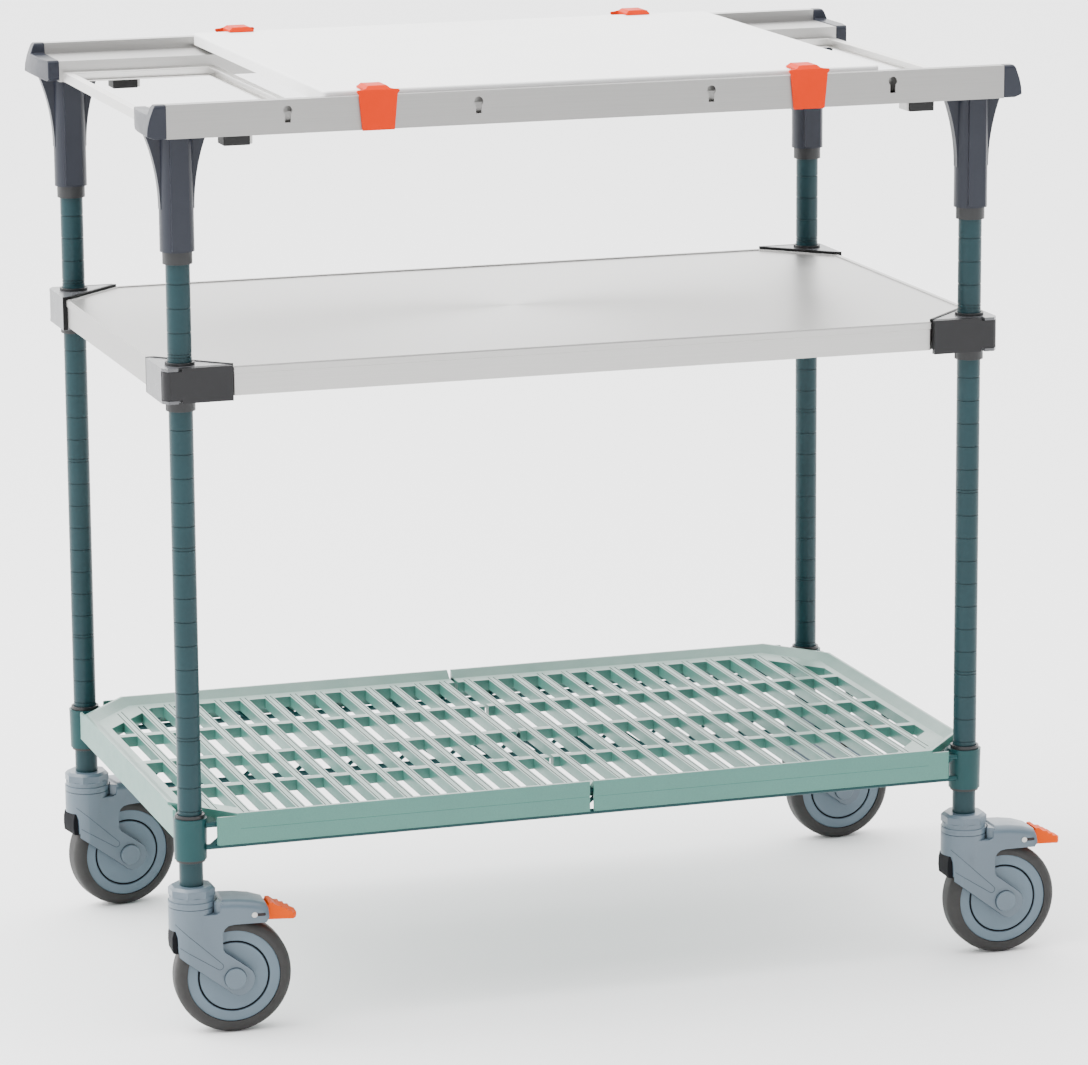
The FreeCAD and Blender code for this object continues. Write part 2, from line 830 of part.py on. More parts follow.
def make_shelf_corners():
    """A corner casting round the sleeve, with lugs that hold the lever's upright pin.

    The lever lies in a recess along the long face and swings out about the pin.
    The rear right corner is the master: its long face looks to +Y."""
    post_x, post_y = post_place("rr")
    side = f"{post_x} + dims.corner_side"
    face = f"{post_y} + dims.corner_front"
    end = f"{post_x} - dims.corner_reach"
    back = f"{post_y} - dims.corner_back"
    # The hidden slanted face stays just clear of the shelf's cut corner.
    slant = "(dims.shelf_length + dims.shelf_depth) / 2 - dims.shelf_cut + 2.5"
    pin_x = f"{post_x} + dims.lever_pin_x"
    pin_y = f"{post_y} + dims.lever_pin_y"
    low = "dims.corner_low"
    high = "dims.corner_high"
    block = slab(
        "corner_block",
        [
            (end, face),
            (end, f"{slant} - ({end})"),
            (f"{slant} - ({back})", back),
            (side, back),
            (side, pin_y),
            (f"{pin_x} + 0.4 * dims.lever_barrel", face),
        ],
        low,
        high,
    )
    recess_low = f"{low} + dims.corner_lug"
    recess_high = f"{high} - dims.corner_lug"
    clear = "dims.lever_barrel + 0.6"
    knuckle_room = rod(
        "corner_knuckle_room", clear, f"({recess_high}) - ({recess_low})", (pin_x, pin_y, recess_low)
    )
    recess = box(
        "corner_recess",
        (f"{end} - 1", f"{face} - dims.lever_thick - 0.6", recess_low),
        (f"{pin_x}", f"{face} + 2", recess_high),
    )
    front_room = box(
        "corner_front_room",
        (f"{end} - 1", f"{face} - dims.lever_thick - 0.6", f"{low} - 1"),
        (f"{pin_x} - dims.lever_barrel - 0.5", f"{face} + 2", f"{high} + 1"),
    )
    outer_room = box(
        "corner_outer_room",
        (f"{pin_x}", pin_y, recess_low),
        (f"{side} + 2", f"{face} + 2", recess_high),
    )
    bore = collar_bore("corner_bore", f"{low} - 1", f"{high} + 1", post_x, post_y)
    hollow = cut("corner_hollow", block, knuckle_room, recess, front_room, outer_room, bore)
    pin = rod(
        "corner_pin",
        "dims.lever_pin_radius",
        f"({high}) - ({low}) - 0.8",
        (pin_x, pin_y, f"{low} + 0.4"),
    )
    at_four_corners("shelf_corner", fuse("shelf_corner_master", hollow, pin))

    plate = box(
        "lever_plate",
        (end, f"{face} - dims.lever_thick", f"{recess_low} + 0.4"),
        (pin_x, face, f"{recess_high} - 0.4"),
    )
    wide_plate = box(
        "lever_wide_plate",
        (end, f"{face} - dims.lever_thick", f"{low} + 0.2"),
        (f"{pin_x} - dims.lever_barrel - 4.4", face, f"{high} - 0.2"),
    )
    barrel = rod(
        "lever_barrel_rod",
        "dims.lever_barrel",
        f"({recess_high}) - ({recess_low}) - 0.8",
        (pin_x, pin_y, f"{recess_low} + 0.4"),
    )
    pin_hole = rod(
        "lever_pin_hole", "dims.lever_pin_radius + 0.08", "60", (pin_x, pin_y, f"{low} - 10")
    )
    lever = cut("shelf_lever_master", fuse("lever_solid", plate, wide_plate, barrel), pin_hole)
    at_four_corners("shelf_lever", lever)


# ---------------------------------------------------------------- lower wire shelf


def straight_wire(start, end, radius):
    """A round wire between two points."""
    run = FreeCAD.Vector(*end) - FreeCAD.Vector(*start)
    return Part.makeCylinder(radius, run.Length, FreeCAD.Vector(*start), run)


def truss(name, start, end, high, low, collars=(), stops=()):
    """Two level wires joined by a zigzag.

    A truss carries the collars at some post axes, and stops at collars that others carry."""
    wire = value_of("wire_radius")
    thin = value_of("truss_radius")
    start, end = FreeCAD.Vector(*start, 0), FreeCAD.Vector(*end, 0)
    length = (end - start).Length
    count = round(length / value_of("truss_pitch"))
    upper = FreeCAD.Vector(0, 0, high)
    lower = FreeCAD.Vector(0, 0, low)
    pieces = [straight_wire(start + level, end + level, wire) for level in (upper, lower)]
    # The zigzag stops a little short of the level wires' ends.
    inset = 2 * thin / length
    knees = []
    for index in range(count + 1):
        point = start + (end - start) * (inset + (1 - 2 * inset) * index / count)
        knees.append(point + (upper if index % 2 else lower))
    for first, second in zip(knees, knees[1:]):
        pieces.append(straight_wire(first, second, thin))
        pieces.append(Part.makeSphere(thin, second))
    collar = value_of("collar_radius")
    height = value_of("collar_high - collar_low")
    holes = []
    for x, y in collars:
        base = FreeCAD.Vector(x, y, value_of("collar_low"))
        pieces.append(Part.makeCone(collar - 0.8, collar, height, base))
        bore = value_of("sleeve_radius + sleeve_fit")
        holes.append(Part.makeCylinder(bore, height + 2, base - FreeCAD.Vector(0, 0, 1)))
    for x, y in stops:
        base = FreeCAD.Vector(x, y, value_of("collar_low"))
        holes.append(Part.makeCone(collar - 0.8, collar, height, base))
    shape = pieces[0].multiFuse(pieces[1:])
    if holes:
        shape = shape.cut(Part.makeCompound(holes))
    thing = doc.addObject("Part::Feature", f"{name}_shape")
    thing.Shape = shape.Solids[0] if len(shape.Solids) == 1 else shape
    thing.Placement = FreeCAD.Placement()
    return node(name, thing)


def make_lower_frame():
    """Wire trusses on all four sides and one along the middle; the long sides carry the collars."""
    post_x = value_of("post_pitch_x / 2")
    post_y = value_of("post_pitch_y / 2")
    front = value_of("wire_front")
    side = value_of("wire_side")
    high = value_of("wire_high")
    low = value_of("wire_low")
    reach_x = post_x - value_of("collar_radius") + 4
    reach_y = post_y - value_of("collar_radius") + 2
    for name, sign in (("front", -1), ("rear", 1)):
        own = [(-post_x, sign * post_y), (post_x, sign * post_y)]
        line = sign * front
        truss(f"lower_frame_{name}", (-reach_x, line), (reach_x, line), high, low, collars=own)
    for name, sign in (("left", -1), ("right", 1)):
        ends = [(sign * post_x, -post_y), (sign * post_x, post_y)]
        line = sign * side
        truss(f"lower_frame_{name}", (line, -reach_y), (line, reach_y), high, low, stops=ends)
    inside = side - value_of("wire_radius")
    centre_high = value_of("centre_wire_high")
    truss("lower_frame_middle", (-inside, 0), (inside, 0), centre_high, low)


def make_mats():
    """One mat covers half of the frame: a raised rim, a skirt and a grid of four rows of slots.

    The skirt runs on past the cut corners as short fins, and the corners are open below the
    rim, so the frame's wires reach the collars."""
    cuts = ("dims.mat_cut_x", "dims.mat_cut_y")

    def mat_slab(name, margin, low, high):
        return slab(name, octagon("dims.mat_length", "dims.mat_depth", *cuts, margin), low, high)

    def mat_block(name, margin, low, high):
        return box(
            name,
            (f"-dims.mat_length / 2 + {margin}", f"-dims.mat_depth / 2 + {margin}", low),
            (f"dims.mat_length / 2 - {margin}", f"dims.mat_depth / 2 - {margin}", high),
        )

    below = "dims.mat_bottom - 1"
    above = "dims.mat_top + 1"
    fins = octagon("dims.mat_length", "dims.mat_depth", "dims.mat_fin_x", "dims.mat_fin_y")
    shell = slab("mat_shell", fins, "dims.mat_bottom", "dims.mat_top")
    corner_room = cut(
        "mat_corner_room",
        mat_block("mat_corner_block", "dims.mat_skin", below, above),
        mat_slab("mat_corner_keep", 0, "dims.mat_bottom - 2", "dims.mat_top + 2"),
    )
    fin_room = cut(
        "mat_fin_room",
        mat_block("mat_fin_block", -5, "dims.mat_fin_top", above),
        mat_slab("mat_fin_keep", 0, "dims.mat_fin_top - 1", "dims.mat_top + 2"),
    )
    wire_room_top = "dims.wire_high + dims.wire_radius + 0.4"
    wire_room = cut(
        "mat_wire_room",
        mat_block("mat_wire_block", "dims.mat_skin", below, wire_room_top),
        mat_slab("mat_wire_keep", "dims.mat_rim - 0.5", "dims.mat_under", "dims.mat_grid"),
    )
    # The dish above the grid has sloping sides: a loft between two octagons.
    dish = body("mat_dish")
    flat = outline(
        dish, "mat_dish_flat", "XY", octagon("dims.mat_length", "dims.mat_depth", *cuts, "dims.mat_rim")
    )
    wide = outline(
        dish, "mat_dish_wide", "XY", octagon("dims.mat_length", "dims.mat_depth", *cuts, "dims.mat_skin")
    )
    wide.setExpression("AttachmentOffset.Base.z", "dims.mat_top - dims.mat_grid + 0.001")
    slope = dish.newObject("PartDesign::AdditiveLoft", "mat_dish_loft")
    slope.Profile = flat
    slope.Sections = [wide]
    slope.Ruled = True
    place(dish, 0, 0, "dims.mat_grid")
    whole = cut("mat_whole", shell, corner_room, fin_room, wire_room, dish)

    # A groove under the middle bar takes the frame's centre wire.
    groove = "dims.wire_radius + 0.4"
    trough = box(
        "mat_trough",
        ("-dims.mat_length / 2 + 10", f"-({groove})", "dims.mat_under - 1"),
        ("dims.mat_length / 2 - 10", groove, f"dims.centre_wire_high + {groove}"),
    )
    other_half = box(
        "mat_other_half",
        ("-dims.mat_length", "-dims.mat_depth", "dims.mat_bottom - 5"),
        ("dims.mat_seam / 2", "dims.mat_depth", "dims.mat_top + 5"),
    )

    slots = []
    for row in range(4):
        middle = f"({row} - 1.5) * (dims.slot_length + dims.slot_bar)"
        slots.append(
            box(
                f"mat_slot_{row}",
                ("-dims.slot_width / 2", f"{middle} - dims.slot_length / 2", "dims.mat_under - 1"),
                ("dims.slot_width / 2", f"{middle} + dims.slot_length / 2", "dims.mat_grid + 1"),
            )
        )
    column = fuse("mat_slot_column", *slots)
    columns = []
    last = int(value_of("slot_column_count"))
    for index in range(last + 1):
        columns.append(copy_at(f"mat_slot_column_{index}", column, f"{index} * dims.slot_pitch", 0))
    field = octagon("dims.slot_field_x", "dims.slot_field_y", "dims.slot_field_cut_x", "dims.slot_field_cut_y")
    limit = slab("mat_slot_limit", field, "dims.mat_under - 2", "dims.mat_grid + 2")
    openings = common("mat_openings", fuse("mat_slot_columns", *columns), limit)
    right = cut("mat_right_cut", whole, trough, other_half, openings)
    node("mat_right", right)
    node("mat_left", mirror("mat_left_mirror", right, "x"))


# ---------------------------------------------------------------- casters


def make_caster_stems():
    """Stem and octagonal nut that fix a caster in its post, with the kingpin below."""
    half = "dims.nut_across / 2"
    edge = f"{half} * tan(22.5 deg)"
    ring = [(edge, f"-{half}"), (half, f"-{edge}"), (half, edge), (edge, half)]
    outline_points = ring + [(f"-({a})", f"-({b})") for a, b in ring]
    prism_nut = slab("stem_nut_prism", outline_points, "dims.neck_top + 12", "dims.post_bottom")
    nut = chamfered("stem_nut", prism_nut, 3, is_rim_at(value_of("post_bottom")))
    parts = [
        nut,
        rod("stem_washer", "dims.neck_radius", 6.2, (0, 0, "dims.neck_top + 0.6")),
        rod("stem_collar", "dims.neck_radius - 1.2", 5.4, (0, 0, "dims.neck_top + 6.7")),
        rod("stem_plug", "dims.post_bore - 0.1", 58, (0, 0, "dims.post_bottom - 1")),
        rod("stem_kingpin", "dims.kingpin_radius", 12, (0, 0, "dims.neck_top - 10.4")),
    ]
    stem = fuse("stem_solid", *parts)
    stems = [copy_at(f"stem_{corner}", stem, *post_place(corner)) for corner in CORNERS]
    node("caster_stems", group("caster_stems_group", *stems))


def make_horn():
    """The moulded fork: neck, canopy over the wheel and two legs down to the axle."""
    outline_points = [
        ("-dims.neck_radius + 1.5", "dims.neck_top - 6"),
        ("-dims.neck_radius + 1.5", 127),
        (-20.7, 117),
        (-18.3, 108.5),
        (-17.7, 88.5),
        (33.5, 49.6),
        (37.5, 46.0),
        (44.0, 43.4),
        (50.5, 44.4),
        (57.0, 48.8),
        (61.0, 55.0),
        (62.0, "dims.wheel_radius"),
        (60.0, 68.5),
        (56.0, 72.5),
        (30.5, 91.5),
        (28.5, 95.5),
        (28.5, 112.0),
        (30.5, 117.0),
        (34.5, 120.3),
        (41.0, 121.5),
        (75.0, 121.5),
        (78.5, 126.0),
        (78.5, 136.0),
        (76.0, 140.5),
        (62.0, 145.0),
        (46.0, 147.2),
        (30.0, 147.8),
        (26.5, 145.0),
        (26.0, "dims.neck_top - 4"),
        (22.0, "dims.neck_top - 6"),
    ]
    profile = prism("horn_side", "XZ", outline_points, "2 * dims.horn_half")
    half = value_of("horn_half")

    def is_canopy_edge(edge):
        bounds = edge.BoundBox
        outside = abs(abs(bounds.YMin) - half) < 1e-6 and bounds.YLength < 1e-6
        return outside and bounds.ZMin > 135 and bounds.XMin > 28

    side = rounded("horn_canopy", profile, "dims.canopy_round", is_canopy_edge)
    # Behind the swivel axis the housing is as round as the neck.
    behind = rod("horn_round_back", "dims.neck_radius", 160, (0, 0, 20))
    ahead = box("horn_ahead", (0, "-dims.horn_half - 5", 0), (140, "dims.horn_half + 5", 170))
    trimmed = common("horn_trimmed", side, fuse("horn_reach", behind, ahead))
    neck = rod("horn_neck", "dims.neck_radius", 24, (0, 0, "dims.neck_top - 24"))
    axle_y = "-dims.horn_half - 1"
    wheel_room = rod(
        "horn_wheel_room",
        "dims.horn_clear",
        "2 * dims.horn_gap",
        ("dims.trail", "-dims.horn_gap", "dims.wheel_radius"),
        axis="y",
    )
    below = box(
        "horn_below_room",
        (-60, "-dims.horn_gap", 20),
        (130, "dims.horn_gap", "dims.wheel_radius + 20"),
    )
    axle_hole = rod(
        "horn_axle_hole",
        "dims.axle_radius",
        "2 * dims.horn_half + 2",
        ("dims.trail", axle_y, "dims.wheel_radius"),
        axis="y",
    )
    kingpin_hole = rod(
        "horn_kingpin_hole",
        "dims.kingpin_radius + dims.kingpin_fit",
        14,
        (0, 0, "dims.neck_top - 12"),
    )
    pedal_room = box(
        "horn_pedal_room",
        ("dims.pedal_pivot_x - 12", "-dims.pedal_half - 0.8", 105),
        ("dims.pedal_pivot_x + 40", "dims.pedal_half + 0.8", 138),
    )
    stem_room = rod("horn_stem_room", "dims.neck_radius + 0.6", 20, (0, 0, "dims.neck_top"))
    solid = fuse("horn_solid", trimmed, neck)
    hollow = cut(
        "horn_hollow", solid, wheel_room, below, axle_hole, kingpin_hole, pedal_room, stem_room
    )
    pedal_pin = rod(
        "horn_pedal_pin",
        "dims.pedal_pin_radius",
        "2 * dims.pedal_half + 6",
        ("dims.pedal_pivot_x", "-dims.pedal_half - 3", "dims.pedal_pivot_z"),
        axis="y",
    )
    return fuse("horn_master", hollow, pedal_pin)


def make_wheel():
    """Tyre and hub, round the axle at the trail distance from the post."""

    def disc(name, radius, width):
        start = ("dims.trail", f"-({width}) / 2", "dims.wheel_radius")
        return rod(name, radius, width, start, axis="y")

    tread = rounded(
        "tyre_tread",
        disc("tyre_disc", "dims.wheel_radius", "dims.wheel_width"),
        "dims.tread_round",
        lambda edge: len(edge.Vertexes) == 1,
    )
    tyre = cut("tyre_master", tread, disc("tyre_bore", "dims.rim_radius", "dims.wheel_width + 2"))
    rim = disc("hub_rim", "dims.rim_radius", "dims.hub_width")
    dish_outside = disc("hub_dish_outside", "dims.hub_seam + 0.9", "dims.hub_width + 2")
    dish_inside = disc("hub_dish_inside", "dims.hub_seam - 0.9", "dims.hub_width + 4")
    seam = cut("hub_seam_ring", dish_outside, dish_inside)
    seam_core = disc("hub_seam_core", 60, "dims.hub_width - 4")
    bore = disc("hub_bore", "dims.axle_radius + dims.axle_fit", "dims.hub_width + 6")
    boss = disc("hub_boss", 15, "dims.hub_width + 6")
    seam_tool = cut("hub_seam_tool", seam, seam_core)
    hub = cut("hub_master", fuse("hub_solid", cut("hub_seamed", rim, seam_tool), boss), bore)
    return tyre, hub


def make_axle():
    """A bolt with round caps outside both legs."""
    start = "dims.horn_half + 3.2"
    shaft = rod(
        "axle_shaft",
        "dims.axle_radius",
        f"2 * ({start})",
        ("dims.trail", f"-({start})", "dims.wheel_radius"),
        axis="y",
    )
    heads = [
        rod(
            f"axle_head_{name}",
            "dims.axle_head",
            3,
            ("dims.trail", place_y, "dims.wheel_radius"),
            axis="y",
        )
        for name, place_y in (("near", "-dims.horn_half - 3.2"), ("far", "dims.horn_half + 0.2"))
    ]
    return fuse("axle_master", shaft, *heads)


def make_pedal():
    """Foot pedal on a cross pin, with a serrated top and a shoe that faces the tyre."""
    profile = [
        ("dims.pedal_pivot_x - 5", "dims.pedal_pivot_z - 4.5"),
        ("dims.pedal_pivot_x - 1", "dims.pedal_pivot_z - 8"),
        ("dims.pedal_tip - 12", "dims.pedal_pivot_z - 9"),
        ("dims.pedal_tip - 3", "dims.pedal_pivot_z - 9.5"),
        ("dims.pedal_tip - 0.6", "dims.pedal_pivot_z - 8.5"),
        ("dims.pedal_tip", "dims.pedal_pivot_z - 6.5"),
    ]
    # Four teeth climb back from the tip.
    for tooth in range(4):
        along = 1.2 + 5.4 * tooth
        climb = 2.9 * tooth
        profile.append((f"dims.pedal_tip - {along}", f"dims.pedal_pivot_z - {3.6 - climb}"))
        profile.append((f"dims.pedal_tip - {along + 4.6}", f"dims.pedal_pivot_z - {3.2 - climb}"))
    profile += [
        ("dims.pedal_pivot_x + 14", "dims.pedal_pivot_z + 9.4"),
        ("dims.pedal_pivot_x + 10", "dims.pedal_pivot_z + 9.4"),
        ("dims.pedal_pivot_x + 9.5", "dims.pedal_pivot_z + 6.5"),
        ("dims.pedal_pivot_x + 4", "dims.pedal_pivot_z + 6.5"),
        ("dims.pedal_pivot_x - 5", "dims.pedal_pivot_z + 4.5"),
    ]
    side = prism("pedal_profile", "XZ", profile, "2 * dims.pedal_half")
    # Seen from above the pedal narrows to a rounded tip.
    round_end = rod(
        "pedal_round_end",
        "dims.pedal_half + 6",
        60,
        ("dims.pedal_tip - dims.pedal_half - 6", 0, 90),
    )
    root = box("pedal_root", (50, -30, 90), ("dims.pedal_tip - dims.pedal_half - 6", 30, 150))
    lever = common("pedal_solid", side, fuse("pedal_plan", round_end, root))
    hole = rod(
        "pedal_pin_hole",
        "dims.pedal_pin_radius + dims.axle_fit",
        "2 * dims.pedal_half + 2",
        ("dims.pedal_pivot_x", "-dims.pedal_half - 1", "dims.pedal_pivot_z"),
        axis="y",
    )
    return cut("pedal_master", lever, hole)


def make_casters():
    make_caster_stems()
    tyre, hub = make_wheel()
    masters = {
        "caster_horn": make_horn(),
        "caster_tyre": tyre,
        "caster_hub": hub,
        "caster_axle": make_axle(),
        "brake_pedal": make_pedal(),
    }
    for stem, master in masters.items():
        for corner, heading in CASTER_HEADINGS.items():
            copied = copy_at(f"{stem}_{corner}_copy", master, *post_place(corner), heading=heading)
            node(f"{stem}_{corner}", copied)


# ---------------------------------------------------------------- build and export

for make in (
    make_posts,
    make_sleeves,
    make_rails,
    make_end_caps,
    make_brackets,
    make_pan_frames,
    make_keepers,
    make_board,
    make_clips,
    make_middle_shelf,
    make_shelf_corners,
    make_lower_frame,
    make_mats,
    make_casters,
):
    make()
doc.recompute()

for thing in doc.Objects:
    if "Invalid" in thing.State or "Error" in thing.State:
        raise RuntimeError(f"{thing.Name} did not compute: {thing.State}")
for name, thing in nodes.items():
    if thing.Shape.isNull() or not thing.Shape.isValid() or not thing.Shape.Solids:
        raise RuntimeError(f"{name} has no valid solid")

os.makedirs("parts", exist_ok=True)
for name, thing in nodes.items():
    thing.Shape.exportStep(f"parts/{name}.step")
    print(f"{name}: {len(thing.Shape.Solids)} solid(s), {thing.Shape.Volume / 1000:.1f} cm3")
print(f"{len(nodes)} nodes")
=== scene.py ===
import json
import math

import bmesh
import bpy
from mathutils import Matrix, Vector


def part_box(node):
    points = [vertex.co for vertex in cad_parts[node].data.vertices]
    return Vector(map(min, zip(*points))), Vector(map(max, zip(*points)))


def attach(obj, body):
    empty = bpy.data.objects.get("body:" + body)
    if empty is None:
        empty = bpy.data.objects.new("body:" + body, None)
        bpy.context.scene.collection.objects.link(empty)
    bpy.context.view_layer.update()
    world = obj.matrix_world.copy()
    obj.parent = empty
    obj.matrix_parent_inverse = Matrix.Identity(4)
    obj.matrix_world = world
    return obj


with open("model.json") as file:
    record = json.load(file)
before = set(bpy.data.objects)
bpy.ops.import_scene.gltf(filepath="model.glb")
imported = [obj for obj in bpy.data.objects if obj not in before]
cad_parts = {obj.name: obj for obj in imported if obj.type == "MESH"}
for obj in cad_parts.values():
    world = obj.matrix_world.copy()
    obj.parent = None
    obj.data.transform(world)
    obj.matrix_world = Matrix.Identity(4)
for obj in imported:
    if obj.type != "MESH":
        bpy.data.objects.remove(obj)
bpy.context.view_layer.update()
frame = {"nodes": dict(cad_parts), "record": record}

NODES = frame["nodes"]
RECORD = frame["record"]
CORNER_SIDES = {"fl": (-1, -1), "fr": (1, -1), "rl": (-1, 1), "rr": (1, 1)}

# ---------------------------------------------------------------- camera, light and floor


def make_camera():
    """A long lens at the front left, looking slightly down on the cart."""
    right = Vector((0.95197, -0.30611, -0.00703))
    down = Vector((-0.07135, -0.19944, -0.97731))
    forward = Vector((0.29776, 0.93087, -0.2117))
    data = bpy.data.cameras.new("camera")
    data.sensor_width, data.lens = 36.0, 168.53162
    data.clip_start, data.clip_end = 0.1, 200.0
    camera = bpy.data.objects.new("camera", data)
    bpy.context.scene.collection.objects.link(camera)
    turn = Matrix((right, -down, -forward)).transposed().to_4x4()
    camera.matrix_world = Matrix.Translation((-1.6545, -5.2768, 1.6558)) @ turn
    bpy.context.scene.camera = camera


def make_light(name, place, aim, size, power):
    """A rectangular soft light at a place, turned towards a point."""
    data = bpy.data.lights.new(name, "AREA")
    data.shape = "RECTANGLE"
    data.size, data.size_y = size
    data.energy = power
    light = bpy.data.objects.new(name, data)
    bpy.context.scene.collection.objects.link(light)
    light.location = place
    light.rotation_mode = "QUATERNION"
    light.rotation_quaternion = (Vector(aim) - Vector(place)).to_track_quat("-Z", "Y")


def make_world():
    """A white studio: bright overhead and behind, darker low down in front."""
    world = bpy.data.worlds.new("studio")
    bpy.context.scene.world = world
    world.use_nodes = True
    tree = world.node_tree
    tree.nodes.clear()
    coordinate = tree.nodes.new("ShaderNodeTexCoord")
    brightest = (-0.12, 0.5, 0.75)
    lean = tree.nodes.new("ShaderNodeVectorMath")
    lean.operation = "DOT_PRODUCT"
    lean.inputs[1].default_value = brightest
    ramp = tree.nodes.new("ShaderNodeValToRGB")
    ramp.color_ramp.elements[0].position = 0.0
    ramp.color_ramp.elements[0].color = (0.16, 0.16, 0.165, 1)
    ramp.color_ramp.elements[1].position = 0.5
    ramp.color_ramp.elements[1].color = (1.0, 1.0, 1.0, 1)
    background = tree.nodes.new("ShaderNodeBackground")
    background.inputs["Strength"].default_value = 4.4
    output = tree.nodes.new("ShaderNodeOutputWorld")
    tree.links.new(coordinate.outputs["Generated"], lean.inputs[0])
    tree.links.new(lean.outputs["Value"], ramp.inputs["Fac"])
    tree.links.new(ramp.outputs["Color"], background.inputs["Color"])
    tree.links.new(background.outputs[0], output.inputs["Surface"])


def make_floor():
    """A plain pale floor, wide enough to fill the view."""
    mesh = bpy.data.meshes.new("floor")
    reach = 40.0
    corners = [(-reach, -reach, 0), (reach, -reach, 0), (reach, reach, 0), (-reach, reach, 0)]
    mesh.from_pydata(corners, [], [(0, 1, 2, 3)])
    floor = bpy.data.objects.new("floor", mesh)
    bpy.context.scene.collection.objects.link(floor)
    material = bpy.data.materials.new("floor_paint")
    material.use_nodes = True
    shader = material.node_tree.nodes["Principled BSDF"]
    shader.inputs["Base Color"].default_value = (0.93, 0.93, 0.93, 1)
    shader.inputs["Roughness"].default_value = 0.8
    mesh.materials.append(material)


# ---------------------------------------------------------------- material helpers


class Paint:
    """A node material. Patterns use object coordinates, which are the cart's own, in metres."""

    def __init__(self, name, colour, roughness, metallic=0.0):
        self.material = bpy.data.materials.new(name)
        self.material.use_nodes = True
        self.tree = self.material.node_tree
        self.shader = self.tree.nodes["Principled BSDF"]
        self.place = self.tree.nodes.new("ShaderNodeTexCoord").outputs["Object"]
        self.set("Base Color", (*colour, 1))
        self.set("Roughness", roughness)
        self.set("Metallic", metallic)

    def set(self, socket, value):
        self.shader.inputs[socket].default_value = value

    def link(self, source, target):
        self.tree.links.new(source, target)

    def stretched(self, scale, turn=(0, 0, 0)):
        """Object coordinates scaled by axis, so that a pattern runs long in one direction."""
        node = self.tree.nodes.new("ShaderNodeMapping")
        node.inputs["Scale"].default_value = scale
        node.inputs["Rotation"].default_value = turn
        self.link(self.place, node.inputs["Vector"])
        return node.outputs[0]

    def noise(self, scale, detail=3.0, rough=0.55, at=None, distortion=0.0):
        node = self.tree.nodes.new("ShaderNodeTexNoise")
        node.inputs["Scale"].default_value = scale
        node.inputs["Detail"].default_value = detail
        node.inputs["Roughness"].default_value = rough
        node.inputs["Distortion"].default_value = distortion
        self.link(at or self.place, node.inputs["Vector"])
        return node.outputs["Fac"]

    def cells(self, scale):
        """Distance to the nearest of many scattered points."""
        node = self.tree.nodes.new("ShaderNodeTexVoronoi")
        node.inputs["Scale"].default_value = scale
        self.link(self.place, node.inputs["Vector"])
        return node.outputs["Distance"]

    def ramp(self, value, *stops):
        """Map a value to shades, each stop a (position, grey or colour)."""
        node = self.tree.nodes.new("ShaderNodeValToRGB")
        ramp = node.color_ramp
        while len(ramp.elements) < len(stops):
            ramp.elements.new(0.5)
        for element, (position, shade) in zip(ramp.elements, stops):
            element.position = position
            element.color = (*shade, 1) if hasattr(shade, "__len__") else (shade, shade, shade, 1)
        self.link(value, node.inputs["Fac"])
        return node.outputs["Color"]

    def math(self, kind, first, second):
        node = self.tree.nodes.new("ShaderNodeMath")
        node.operation = kind
        for index, value in enumerate((first, second)):
            if isinstance(value, (int, float)):
                node.inputs[index].default_value = value
            else:
                self.link(value, node.inputs[index])
        return node.outputs[0]

    def mix(self, kind, factor, first, second):
        """Blend two colours; each of the three inputs is a socket or a plain value."""
        node = self.tree.nodes.new("ShaderNodeMix")
        node.data_type = "RGBA"
        node.blend_type = kind
        ends = [s for s in node.inputs if s.type == "RGBA"]
        values = zip((node.inputs["Factor"], *ends), (factor, first, second))
        for socket, value in values:
            if isinstance(value, bpy.types.NodeSocket):
                self.link(value, socket)
            elif hasattr(value, "__len__"):
                socket.default_value = (*value, 1)
            else:
                socket.default_value = value
        return next(s for s in node.outputs if s.type == "RGBA")

    def colour(self, socket):
        self.link(socket, self.shader.inputs["Base Color"])

    def roughness(self, value, low, high):
        """Let a pattern drive the roughness between two limits."""
        node = self.tree.nodes.new("ShaderNodeMapRange")
        node.inputs["To Min"].default_value = low
        node.inputs["To Max"].default_value = high
        self.link(value, node.inputs["Value"])
        self.link(node.outputs[0], self.shader.inputs["Roughness"])

    def bump(self, *layers):
        """Stack height patterns, each (height, depth in metres, strength)."""
        normal = None
        for height, depth, strength in layers:
            node = self.tree.nodes.new("ShaderNodeBump")
            node.inputs["Strength"].default_value = strength
            node.inputs["Distance"].default_value = depth
            self.link(height, node.inputs["Height"])
            if normal is not None:
                self.link(normal, node.inputs["Normal"])
            normal = node.outputs["Normal"]
        self.link(normal, self.shader.inputs["Normal"])


def shade(colour, factor):
    """The same hue, darker or lighter."""
    return tuple(min(1.0, channel * factor) for channel in colour)


def srgb(red, green, blue):
    """Linear colour from 0-255 screen values."""
    values = []
    for channel in (red, green, blue):
        value = channel / 255
        values.append(value / 12.92 if value <= 0.04045 else ((value + 0.055) / 1.055) ** 2.4)
    return tuple(values)


# ---------------------------------------------------------------- materials


